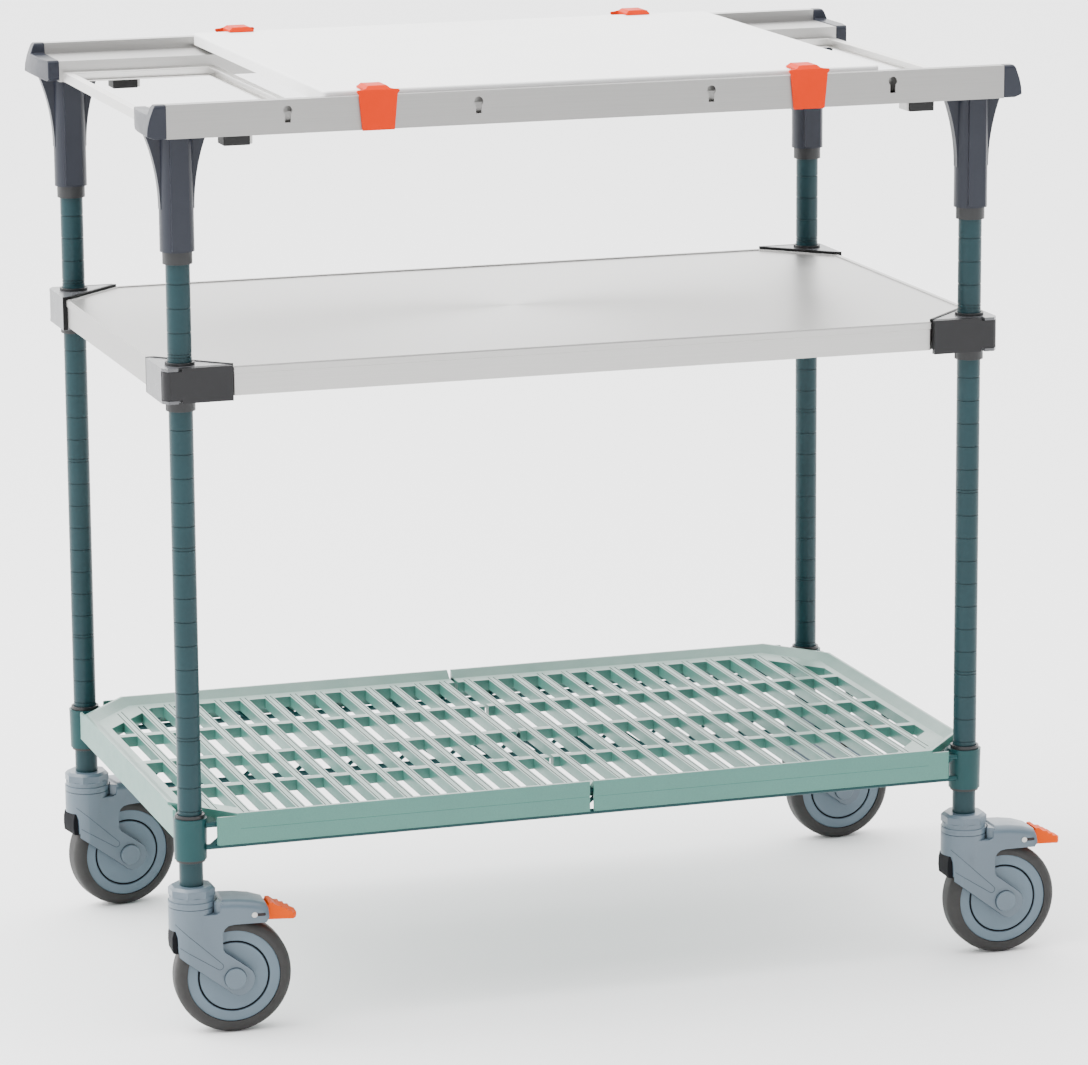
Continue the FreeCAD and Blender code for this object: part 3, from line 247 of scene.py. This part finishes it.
def moulded(name, colour, roughness=0.45, mottle=0.12, gloss=0.4):
    """Injection-moulded plastic: spark-eroded grain, faint flow marks and specks."""
    paint = Paint(name, colour, roughness)
    flow = paint.noise(14, detail=4, rough=0.6, distortion=0.4)
    base = paint.ramp(flow, (0.3, shade(colour, 1 - mottle)), (0.72, shade(colour, 1 + mottle)))
    dark, pale = shade(colour, 0.72), shade(colour, 1.25)
    spots = paint.noise(2600, detail=1)
    specks = paint.ramp(spots, (0.28, dark), (0.42, colour), (0.66, colour), (0.8, pale))
    paint.colour(paint.mix("MIX", 0.35, base, specks))
    paint.roughness(paint.noise(60, detail=5), roughness - 0.07, roughness + 0.09)
    paint.bump((paint.noise(9000, detail=2), 0.00006, 0.35), (paint.noise(320, detail=3), 0.0002, 0.12))
    paint.set("Specular IOR Level", gloss)
    return paint.material


def epoxy(name, colour):
    """Powder-coat epoxy on steel: orange peel, fine flakes and slightly uneven gloss."""
    paint = Paint(name, colour, 0.36)
    drift = paint.noise(9, detail=3)
    base = paint.ramp(drift, (0.3, shade(colour, 0.86)), (0.7, shade(colour, 1.14)))
    bright, dull = shade(colour, 1.7), shade(colour, 0.82)
    flakes = paint.ramp(paint.cells(1500), (0.0, bright), (0.16, colour), (0.9, dull))
    paint.colour(paint.mix("MIX", 0.4, base, flakes))
    paint.roughness(paint.noise(45, detail=5), 0.28, 0.44)
    paint.bump((paint.noise(420, detail=2), 0.00025, 0.3), (paint.noise(5200, detail=1), 0.00004, 0.3))
    paint.set("Specular IOR Level", 0.2)
    return paint.material


def stainless(name, brightness=1.0):
    """Brushed sheet: fine and coarse grain along the cart, and faint handling marks."""
    colour = shade((0.42, 0.415, 0.405), brightness)
    paint = Paint(name, colour, 0.3, metallic=1.0)
    grain = paint.noise(1.0, detail=5, rough=0.7, at=paint.stretched((9, 1700, 1700)))
    coarse = paint.noise(1.0, detail=3, at=paint.stretched((2.5, 260, 260)))
    smudge = paint.noise(5.5, detail=4, distortion=0.8)
    tone = paint.ramp(grain, (0.3, shade(colour, 0.9)), (0.7, shade(colour, 1.1)))
    cloud = paint.ramp(smudge, (0.35, shade(colour, 0.95)), (0.65, shade(colour, 1.04)))
    paint.colour(paint.mix("MIX", 0.45, tone, cloud))
    wear = paint.math("ADD", paint.math("MULTIPLY", grain, 0.6), paint.math("MULTIPLY", smudge, 0.4))
    paint.roughness(wear, 0.3, 0.48)
    paint.bump((grain, 0.00005, 0.5), (coarse, 0.0001, 0.15))
    paint.set("Anisotropic", 0.5)
    return paint.material


def cutting_plastic(name):
    """White polyethylene: fine pebble and faint knife lines."""
    colour = (0.92, 0.92, 0.91)
    paint = Paint(name, colour, 0.5)
    cloud = paint.noise(6, detail=3)
    base = paint.ramp(cloud, (0.3, shade(colour, 0.975)), (0.7, shade(colour, 1.02)))
    marks = paint.noise(1.0, detail=2, at=paint.stretched((6, 520, 1), (0, 0, 0.5)))
    faint = paint.ramp(marks, (0.0, shade(colour, 0.93)), (0.3, colour))
    paint.colour(paint.mix("MIX", 0.3, base, faint))
    paint.roughness(paint.noise(80, detail=4), 0.42, 0.6)
    paint.bump((paint.noise(2400, detail=2), 0.00008, 0.4), (marks, 0.0001, 0.12))
    paint.set("Subsurface Weight", 0.08)
    paint.set("Subsurface Radius", (0.004, 0.004, 0.004))
    return paint.material


def mat_polymer(name):
    """Sage mat: a clear grain, and up-facing tops made paler by a painted sheen."""
    colour = srgb(62, 114, 103)
    painted_top_sheen = srgb(152, 166, 159)
    paint = Paint(name, colour, 0.5)
    cloud = paint.noise(11, detail=4, distortion=0.3)
    base = paint.ramp(cloud, (0.3, shade(colour, 0.93)), (0.7, shade(colour, 1.06)))
    dark, pale = shade(colour, 0.8), shade(colour, 1.16)
    specks = paint.ramp(paint.noise(900, detail=3, rough=0.7), (0.3, dark), (0.5, colour), (0.72, pale))
    mixed = paint.mix("MIX", 0.5, base, specks)
    # Up-facing faces are mixed in patches towards a pale grey: a painted sheen on the mat's tops.
    facing = paint.tree.nodes.new("ShaderNodeSeparateXYZ")
    geometry = paint.tree.nodes.new("ShaderNodeNewGeometry")
    paint.link(geometry.outputs["Normal"], facing.inputs[0])
    top = paint.ramp(facing.outputs["Z"], (0.6, 0.0), (0.95, 1.0))
    sheen_patches = paint.ramp(paint.noise(28, detail=5, rough=0.65), (0.3, 0.42), (0.7, 0.62))
    paint.colour(paint.mix("MIX", paint.mix("MULTIPLY", 1.0, top, sheen_patches), mixed, painted_top_sheen))
    paint.roughness(paint.noise(70, detail=5), 0.3, 0.44)
    paint.bump((paint.noise(1500, detail=3), 0.00012, 0.5))
    return paint.material


def tread_rubber(name):
    """Polyurethane tread: dull, dusty and slightly uneven."""
    colour = srgb(31, 30, 29)
    paint = Paint(name, colour, 0.62)
    dust = paint.noise(35, detail=6, rough=0.7)
    paint.colour(paint.ramp(dust, (0.35, shade(colour, 0.8)), (0.6, colour), (0.8, shade(colour, 1.5))))
    paint.roughness(paint.noise(120, detail=4), 0.52, 0.74)
    paint.bump((paint.noise(2200, detail=3), 0.0001, 0.45), (paint.noise(160, detail=2), 0.0003, 0.15))
    return paint.material


def make_materials():
    """The CAD's material slots by name, and a lighter copy of the casters' slate for the hubs, as painted
    light.
    """
    return {
        "post_epoxy": epoxy("post_epoxy", srgb(22, 50, 55)),
        "frame_epoxy": epoxy("frame_epoxy", srgb(20, 60, 62)),
        "sleeve_plastic": moulded("sleeve_plastic", srgb(26, 27, 29), 0.42),
        "stainless": stainless("stainless"),
        "dark_plastic": moulded("dark_plastic", srgb(35, 38, 47), 0.34, gloss=0.24),
        "black_rubber": moulded("black_rubber", srgb(18, 18, 19), 0.6),
        "board_white": cutting_plastic("board_white"),
        "orange_plastic": moulded("orange_plastic", srgb(202, 45, 0), 0.45, mottle=0.06, gloss=0.04),
        "corner_cast": moulded("corner_cast", srgb(78, 79, 82), 0.28, mottle=0.05, gloss=0.5),
        "lever_plastic": moulded("lever_plastic", srgb(26, 26, 28), 0.5, gloss=0.3),
        "mat_sage": mat_polymer("mat_sage"),
        "caster_slate": moulded("caster_slate", srgb(76, 91, 102), 0.36, mottle=0.07, gloss=0.6),
        # A lighter copy of the casters' slate: painted light on the hubs.
        "hub_slate_painted_light": moulded("hub_slate_painted_light", srgb(84, 102, 114), 0.4, mottle=0.06, gloss=0.5),
        "axle_cap": moulded("axle_cap", srgb(77, 93, 104), 0.34, mottle=0.05, gloss=0.6),
        "tyre": tread_rubber("tyre"),
    }


# ---------------------------------------------------------------- CAD nodes: edges and finishes

WELD_DISTANCE = 0.00002
CREASE_ANGLE, FLAT_ANGLE, BEVEL_ANGLE = math.radians(35), math.radians(0.6), math.radians(32)
SOFT_ANGLE = math.radians(28)

# Width of the rounding of each slot's edges, in metres. Zero leaves them sharp.
EDGE = {
    "post_epoxy": 0.0,
    "stainless": 0.0005,
    "corner_cast": 0.0008,
    "dark_plastic": 0.0012,
    "orange_plastic": 0.0008,
    "caster_slate": 0.0013,
    "lever_plastic": 0.0009,
    "mat_sage": 0.0006,
    "black_rubber": 0.001,
    "board_white": 0.0,
    "sleeve_plastic": 0.0003,
    "frame_epoxy": 0.0,
    "axle_cap": 0.0008,
    "tyre": 0.0,
}


def dress(node, material, edge):
    """Give a CAD node its finish, and round its edges with modifiers."""
    thing = NODES[node]
    thing.data.materials.clear()
    thing.data.materials.append(material)
    if "custom_normal" in thing.data.attributes:
        thing.data.attributes.remove(thing.data.attributes["custom_normal"])
    for polygon in thing.data.polygons:
        polygon.use_smooth = True
    weld = thing.modifiers.new("weld", "WELD")
    weld.merge_threshold = WELD_DISTANCE
    if not edge:
        crease = thing.modifiers.new("crease", "EDGE_SPLIT")
        crease.split_angle = CREASE_ANGLE
        return
    flat = thing.modifiers.new("flat", "DECIMATE")
    flat.decimate_type = "DISSOLVE"
    flat.angle_limit = FLAT_ANGLE
    bevel = thing.modifiers.new("edges", "BEVEL")
    bevel.width = edge
    bevel.segments = 2
    bevel.limit_method = "ANGLE"
    bevel.angle_limit = BEVEL_ANGLE
    bevel.use_clamp_overlap = True
    # Hardened normals leave a diagonal streak on the corner castings' long flat faces.
    if node.startswith("shelf_corner"):
        level = thing.modifiers.new("level", "WEIGHTED_NORMAL")
        level.keep_sharp = True
    else:
        bevel.harden_normals = True


def dress_all(materials):
    """Finish each node by its slot; a few pieces get lighter or darker copies of their finish as painted
    light and shade, and the pedals a different orange.
    """
    pedal_orange = moulded("pedal_orange", srgb(208, 74, 4), 0.45, mottle=0.06, gloss=0.04)
    # Copies of the stainless: painted light on the pan frames and shelf, painted shade on the rail front.
    pan_steel_painted_light = stainless("pan_steel_painted_light", 1.8)
    painted_light_and_other_finishes = {
        "rail_front": stainless("rail_steel_painted_shade", 0.69),
        "middle_shelf": stainless("shelf_steel_painted_light", 1.05),
        "pan_frame_left": pan_steel_painted_light,
        "pan_frame_right": pan_steel_painted_light,
    }
    for corner in CORNER_SIDES:
        painted_light_and_other_finishes[f"caster_hub_{corner}"] = materials["hub_slate_painted_light"]
        painted_light_and_other_finishes[f"brake_pedal_{corner}"] = pedal_orange
    for part in RECORD["subparts"]:
        node, slot = part["node"], part["material_slot"]
        dress(node, painted_light_and_other_finishes.get(node, materials[slot]), EDGE[slot])


# ---------------------------------------------------------------- caster details

# Sizes of the CAD that the details lie on, in metres. HORN_HALF and HUB_FACE are half widths.
POST_X, POST_Y = 0.43815, 0.24765
TRAIL, WHEEL_RADIUS, HORN_HALF = 0.041, 0.0625, 0.024
NECK_RADIUS = 0.0252
AXLE_CAP_RADIUS = 0.0115
HUB_SEAM_RADIUS, HUB_FACE = 0.0375, 0.014
CANOPY_UNDERSIDE, CANOPY_TOP = 0.131, 0.1462
PEDAL_PIVOT_Z = 0.1305

# Radii of the lines of painted shade that stand for engraving, gaps and joints, and how far some of them
# are sunk.
SCORE, LEG_GAP_SHADOW, CAP_JOINT, HUB_SEAM = 0.00028, 0.0005, 0.0004, 0.0007
LEG_GAP_SHADOW_SUNK, HUB_SEAM_SUNK = 0.0012, 0.0006
CAP_JOINT_GAP = 0.0001
FLANK_STEP = 0.003

# The pedal's slot and pin in each flank: where the first round end is centred, length and radius.
PEDAL_SLOT, PEDAL_PIN = (0.0665, 0.0065, 0.0016), (0.0625, 0.0004, 0.003)
MARK_SUNK, SLOT_PROUD, PIN_PROUD = 0.0006, 0.00012, 0.0006


def caster_frame(corner):
    """Caster space: X towards the wheel, Z up, origin on the floor under the post."""
    side_x, side_y = CORNER_SIDES[corner]
    post = Vector((side_x * POST_X, side_y * POST_Y, 0))
    low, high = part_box(f"caster_tyre_{corner}")
    wheel = (low + high) / 2
    ahead = (wheel - post).to_2d()
    return Matrix.Translation(post) @ Matrix.Rotation(math.atan2(ahead.y, ahead.x), 4, "Z")


def add_piece(name, mesh_or_curve, material, where, body):
    """Place a new piece and let it ride on a body."""
    piece = bpy.data.objects.new(name, mesh_or_curve)
    bpy.context.scene.collection.objects.link(piece)
    piece.matrix_world = where
    piece.data.materials.append(material)
    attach(piece, body)
    return piece


def plate(name, outline, low, high, along):
    """A flat body: an outline drawn in two axes, extruded along the third from low to high."""
    work = bmesh.new()

    def corner(point, depth):
        first, second = point
        return (first, depth, second) if along == "Y" else (first, second, depth)

    near = [work.verts.new(corner(point, low)) for point in outline]
    far = [work.verts.new(corner(point, high)) for point in outline]
    work.faces.new(near)
    work.faces.new(reversed(far))
    for index in range(len(outline)):
        after = (index + 1) % len(outline)
        work.faces.new((near[after], near[index], far[index], far[after]))
    bmesh.ops.recalc_face_normals(work, faces=work.faces)
    mesh = bpy.data.meshes.new(name)
    work.to_mesh(mesh)
    work.free()
    for polygon in mesh.polygons:
        polygon.use_smooth = True
    return mesh


def soften(piece, width, segments=3):
    """Round a piece's edges."""
    bevel = piece.modifiers.new("edges", "BEVEL")
    bevel.width = width
    bevel.segments = segments
    bevel.limit_method = "ANGLE"
    bevel.angle_limit = SOFT_ANGLE
    bevel.harden_normals = True


def capsule(x, length, radius, z, steps):
    """Outline of a slot with two round ends, centred at x and at a length beyond it."""
    outline = []
    for centre, start in ((x + length, -90), (x, 90)):
        for step in range(steps + 1):
            angle = math.radians(start + 180 * step / steps)
            outline.append((centre + radius * math.cos(angle), z + radius * math.sin(angle)))
    return outline


def line_curve(name, points, thickness):
    """A thin round line through points, capped at both ends."""
    curve = bpy.data.curves.new(name, "CURVE")
    curve.dimensions = "3D"
    curve.bevel_depth = thickness
    curve.bevel_resolution = 2
    curve.use_fill_caps = True
    spline = curve.splines.new("POLY")
    spline.points.add(len(points) - 1)
    for place, point in zip(spline.points, points):
        place.co = (*point, 1)
    return curve


def on_flank(outline, side, sunk=0.0):
    """Lay an outline of the fork's side view on its flank, which is round behind the swivel axis."""
    laid = []
    for (x0, z0), (x1, z1) in zip(outline, outline[1:]):
        steps = 1
        if min(x0, x1) < 0:
            steps = max(1, math.ceil(math.hypot(x1 - x0, z1 - z0) / FLANK_STEP))
        for step in range(steps):
            x = x0 + (x1 - x0) * step / steps
            laid.append((x, z0 + (z1 - z0) * step / steps))
    laid.append(outline[-1])
    placed = []
    for x, z in laid:
        flank = HORN_HALF if x > 0 else min(HORN_HALF, math.sqrt(NECK_RADIUS**2 - x**2))
        placed.append((x, side * (flank - sunk), z))
    return placed


def score_line(side):
    """The engraved outline on a leg: down from the neck, round a small nose, and back."""
    nose_x, nose_z, nose, steps = 0.0247, 0.0768, 0.0037, 8
    points = [(-0.0205, 0.1235)]
    for step in range(steps + 1):
        angle = math.radians(50 - 175 * step / steps)
        points.append((nose_x + nose * math.cos(angle), nose_z + nose * math.sin(angle)))
    points.append((-0.0162, 0.0985))
    return on_flank(points, side)


def leg_gap_shadow(side):
    """Painted shadow of the gap along a leg's edge, from its back corner round the axle to its throat."""
    outline = [
        (-0.0165, 0.0876),
        (0.0335, 0.0496),
        (0.0375, 0.046),
        (0.044, 0.0434),
        (0.0505, 0.0444),
        (0.057, 0.0488),
        (0.061, 0.055),
        (0.062, 0.0625),
        (0.06, 0.0685),
        (0.056, 0.0725),
        (0.0305, 0.0915),
    ]
    return on_flank(outline, side, sunk=LEG_GAP_SHADOW_SUNK)


def ring(radius, y, steps=72):
    """Points of a closed circle about the axle."""
    points = []
    for step in range(steps + 1):
        angle = 2 * math.pi * step / steps
        points.append((TRAIL + radius * math.cos(angle), y, WHEEL_RADIUS + radius * math.sin(angle)))
    return points


def canopy_root():
    """Plan of the web that joins the canopy to the neck; its hollow side clears the stem's nut."""
    clear, widest, steps = 0.0262, 40, 12
    outline = [(0.0292, 0.0232), (0.0245, 0.0212)]
    for step in range(steps + 1):
        angle = math.radians(widest - 2 * widest * step / steps)
        outline.append((clear * math.cos(angle), clear * math.sin(angle)))
    return outline + [(0.0245, -0.0212), (0.0292, -0.0232)]


def add_caster_solids(corner, where, slate, guard):
    """The web at the canopy's root, and the dust guard behind the fork."""
    body = f"caster_{corner}"
    root = plate(f"canopy_root_{corner}", canopy_root(), CANOPY_UNDERSIDE, CANOPY_TOP, "Z")
    piece = add_piece(f"canopy_root_{corner}", root, slate, where, body)
    soften(piece, 0.0012)
    half_width = 0.0152
    outline = [
        (-0.0175, 0.0905),
        (-0.0232, 0.0915),
        (-0.0241, 0.1),
        (-0.0238, 0.1085),
        (-0.0222, 0.1155),
        (-0.0202, 0.1155),
        (-0.0181, 0.1085),
    ]
    mesh = plate(f"dust_guard_{corner}", outline, -half_width, half_width, "Y")
    piece = add_piece(f"dust_guard_{corner}", mesh, guard, where, body)
    soften(piece, 0.0011)


def add_caster_lines(corner, where, label, side, groove, seam):
    """The lines of painted shade on one flank: in the leg's engraving, along the gap at its edge, round the
    axle cap's joint and in the hub's seam.
    """
    body = f"caster_{corner}"
    cap_joint = ring(AXLE_CAP_RADIUS + CAP_JOINT_GAP, side * (HORN_HALF + CAP_JOINT_GAP))
    hub_seam = ring(HUB_SEAM_RADIUS, side * (HUB_FACE - HUB_SEAM_SUNK))
    lines = (
        ("fork_score", score_line(side), SCORE, groove, body, "caster_slate"),
        ("leg_gap_shadow", leg_gap_shadow(side), LEG_GAP_SHADOW, groove, body, "caster_slate"),
        ("cap_joint", cap_joint, CAP_JOINT, groove, body, "caster_slate"),
        ("hub_seam", hub_seam, HUB_SEAM, seam, f"wheel_{corner}", "black_rubber"),
    )
    for kind, points, thickness, material, rides_on, slot in lines:
        name = f"{kind}_{label}_{corner}"
        piece = add_piece(name, line_curve(name, points, thickness), material, where, rides_on)


def add_pedal_marks(corner, where, label, side, slot_dark, pin_steel):
    """The slot in one flank beside the pedal, and the head of the pedal's pin."""
    body = f"caster_{corner}"
    face = side * HORN_HALF
    inner = face - side * MARK_SUNK
    name = f"pedal_slot_{label}_{corner}"
    outline = capsule(*PEDAL_SLOT, PEDAL_PIVOT_Z, 10)
    mesh = plate(name, outline, inner, face + side * SLOT_PROUD, "Y")
    add_piece(name, mesh, slot_dark, where, body)
    name = f"pedal_pin_{label}_{corner}"
    outline = capsule(*PEDAL_PIN, PEDAL_PIVOT_Z, 16)
    mesh = plate(name, outline, inner, face + side * PIN_PROUD, "Y")
    piece = add_piece(name, mesh, pin_steel, where, body)
    soften(piece, 0.0004, 2)


def add_caster_details(slate):
    """What each caster wears: canopy web, dust guard, lines on both flanks, pedal slots and pins."""
    guard = moulded("guard_plastic", srgb(20, 21, 24), 0.6, gloss=0.05)
    groove = moulded("groove_shadow", srgb(40, 48, 56), 0.7)
    slot_dark = moulded("slot_shadow", srgb(30, 20, 22), 0.7)
    seam = moulded("seam_shadow", srgb(16, 18, 22), 0.7, gloss=0.1)
    pin_steel = stainless("pin_steel")
    for corner in CORNER_SIDES:
        where = caster_frame(corner)
        add_caster_solids(corner, where, slate, guard)
        for label, side in (("near", -1), ("far", 1)):
            add_caster_lines(corner, where, label, side, groove, seam)
            add_pedal_marks(corner, where, label, side, slot_dark, pin_steel)


# ---------------------------------------------------------------- shelf corner dark lips and mat scores

# |x| + |y| along the slanted face of a corner casting, and how far a dark lip reaches either side.
SLANT, LIP_OUTSIDE, LIP_INSIDE = 0.6544, 0.0009, 0.0046
LIP_BACK, LIP_SUNK, LIP_PROUD = 0.003, 0.0001, 0.0007
# The lip stops short of the lever, which is flush with the casting's long face.
LEVER_CLEAR = 0.0074
LIP_END_BACK, LIP_END_FRONT, LIP_END_OUT, LIP_END_PROUD = 0.0008, 0.0005, 0.0002, 0.0006


def add_corner_dark_lips():
    """The dark strip between each corner casting and the shelf, a lip along the cut corner and its end:
    partly the casting's dark wall, partly painted shade.
    """
    # Near black: the casting's dark wall with painted shade on it.
    lip_dark_and_shade = moulded("corner_lip_dark_and_shade", srgb(15, 15, 16), 0.55, gloss=0.2)
    _, shelf_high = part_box("middle_shelf")
    for corner, (side_x, side_y) in CORNER_SIDES.items():
        low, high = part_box(f"shelf_corner_{corner}")
        reach_x = min(abs(low.x), abs(high.x))
        outer_x = max(abs(low.x), abs(high.x))
        back_y = min(abs(low.y), abs(high.y))
        outside, inside = SLANT + LIP_OUTSIDE, SLANT - LIP_INSIDE
        lip_y = max(abs(low.y), abs(high.y)) - LEVER_CLEAR
        lip = [
            (outside - lip_y, lip_y),
            (outside - back_y, back_y),
            (inside - back_y, back_y),
            (reach_x - LIP_BACK, inside - reach_x + LIP_BACK),
        ]
        end = [
            (SLANT - back_y - LIP_END_PROUD, back_y - LIP_END_BACK),
            (outer_x + LIP_END_OUT, back_y - LIP_END_BACK),
            (outer_x + LIP_END_OUT, back_y + LIP_END_FRONT),
            (SLANT - back_y - LIP_END_PROUD, back_y + LIP_END_FRONT),
        ]
        shapes = (
            ("lip", lip, shelf_high.z - LIP_SUNK, high.z + LIP_PROUD),
            ("end", end, low.z + LIP_END_PROUD, high.z + LIP_END_PROUD),
        )
        for label, outline, bottom, top in shapes:
            name = f"corner_dark_lip_{label}_{corner}"
            placed = [(side_x * x, side_y * y) for x, y in outline]
            piece = add_piece(name, plate(name, placed, bottom, top, "Z"), lip_dark_and_shade, Matrix(), "shelf")
            soften(piece, 0.0003, 2)


def strips_mesh(name, boxes):
    """One mesh of many thin bars, each given by its low and high corner."""
    work = bmesh.new()
    for low, high in boxes:
        bar = bmesh.ops.create_cube(work, size=1.0)["verts"]
        for vert in bar:
            vert.co = [(a + b) / 2 + c * (b - a) for a, b, c in zip(low, high, vert.co)]
    mesh = bpy.data.meshes.new(name)
    work.to_mesh(mesh)
    work.free()
    return mesh


RIB_PITCH, RIB_COUNT, RIB_TOP = 0.0299, 14, 0.232
SCORE_OFFSETS, SCORE_HALF_WIDTH, SCORE_PROUD, SCORE_SUNK = (-0.003, 0.003), 0.0005, 0.00006, 0.0004
# The mat's flat field ends at its rim, in |y|, and is cut at the corners where
# FIELD_CUT_X |x| + FIELD_CUT_Y |y| = FIELD_CUT.
FIELD_Y, FIELD_CUT_X, FIELD_CUT_Y, FIELD_CUT = 0.2445, 0.768, 0.641, 0.4535
SKIRT_X, SKIRT_Z = (0.004, 0.388), (0.2229, 0.2233)


def add_mat_scores():
    """Two scored lines along every rib of a mat, and one along its front and rear skirts, drawn as dark
    strips of painted shade.
    """
    # Dark strips of painted shade in the scored lines.
    score_shade = moulded("mat_score_shade", srgb(22, 40, 37), 0.8, gloss=0.0)
    faint = moulded("mat_skirt_score_shade", srgb(50, 96, 87), 0.6, gloss=0.2)
    for label, side in (("left", -1), ("right", 1)):
        _, mat_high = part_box(f"mat_{label}")
        bars = []
        for rib in range(RIB_COUNT):
            for offset in SCORE_OFFSETS:
                x = (rib + 0.5) * RIB_PITCH + offset
                reach = min(FIELD_Y, (FIELD_CUT - FIELD_CUT_X * x) / FIELD_CUT_Y)
                ends = sorted((side * (x - SCORE_HALF_WIDTH), side * (x + SCORE_HALF_WIDTH)))
                bottom, top = RIB_TOP - SCORE_SUNK, RIB_TOP + SCORE_PROUD
                bars.append(((ends[0], -reach, bottom), (ends[1], reach, top)))
        skirts = []
        skirt_x = sorted(side * x for x in SKIRT_X)
        for face in (-1, 1):
            y = sorted((face * (mat_high.y - SCORE_SUNK), face * (mat_high.y + SCORE_PROUD)))
            skirts.append(((skirt_x[0], y[0], SKIRT_Z[0]), (skirt_x[1], y[1], SKIRT_Z[1])))
        for kind, boxes, material in (("rib", bars, score_shade), ("skirt", skirts, faint)):
            name = f"mat_{kind}_scores_{label}"
            piece = add_piece(name, strips_mesh(name, boxes), material, Matrix(), f"lower_mat_{label}")


# ---------------------------------------------------------------- build

make_camera()
make_world()
make_light("key", place=(-3.0, 0.5, 4.0), aim=(0, 0, 0.5), size=(3.0, 3.0), power=200)
make_floor()
materials = make_materials()
dress_all(materials)
add_caster_details(materials["caster_slate"])
add_corner_dark_lips()
add_mat_scores()
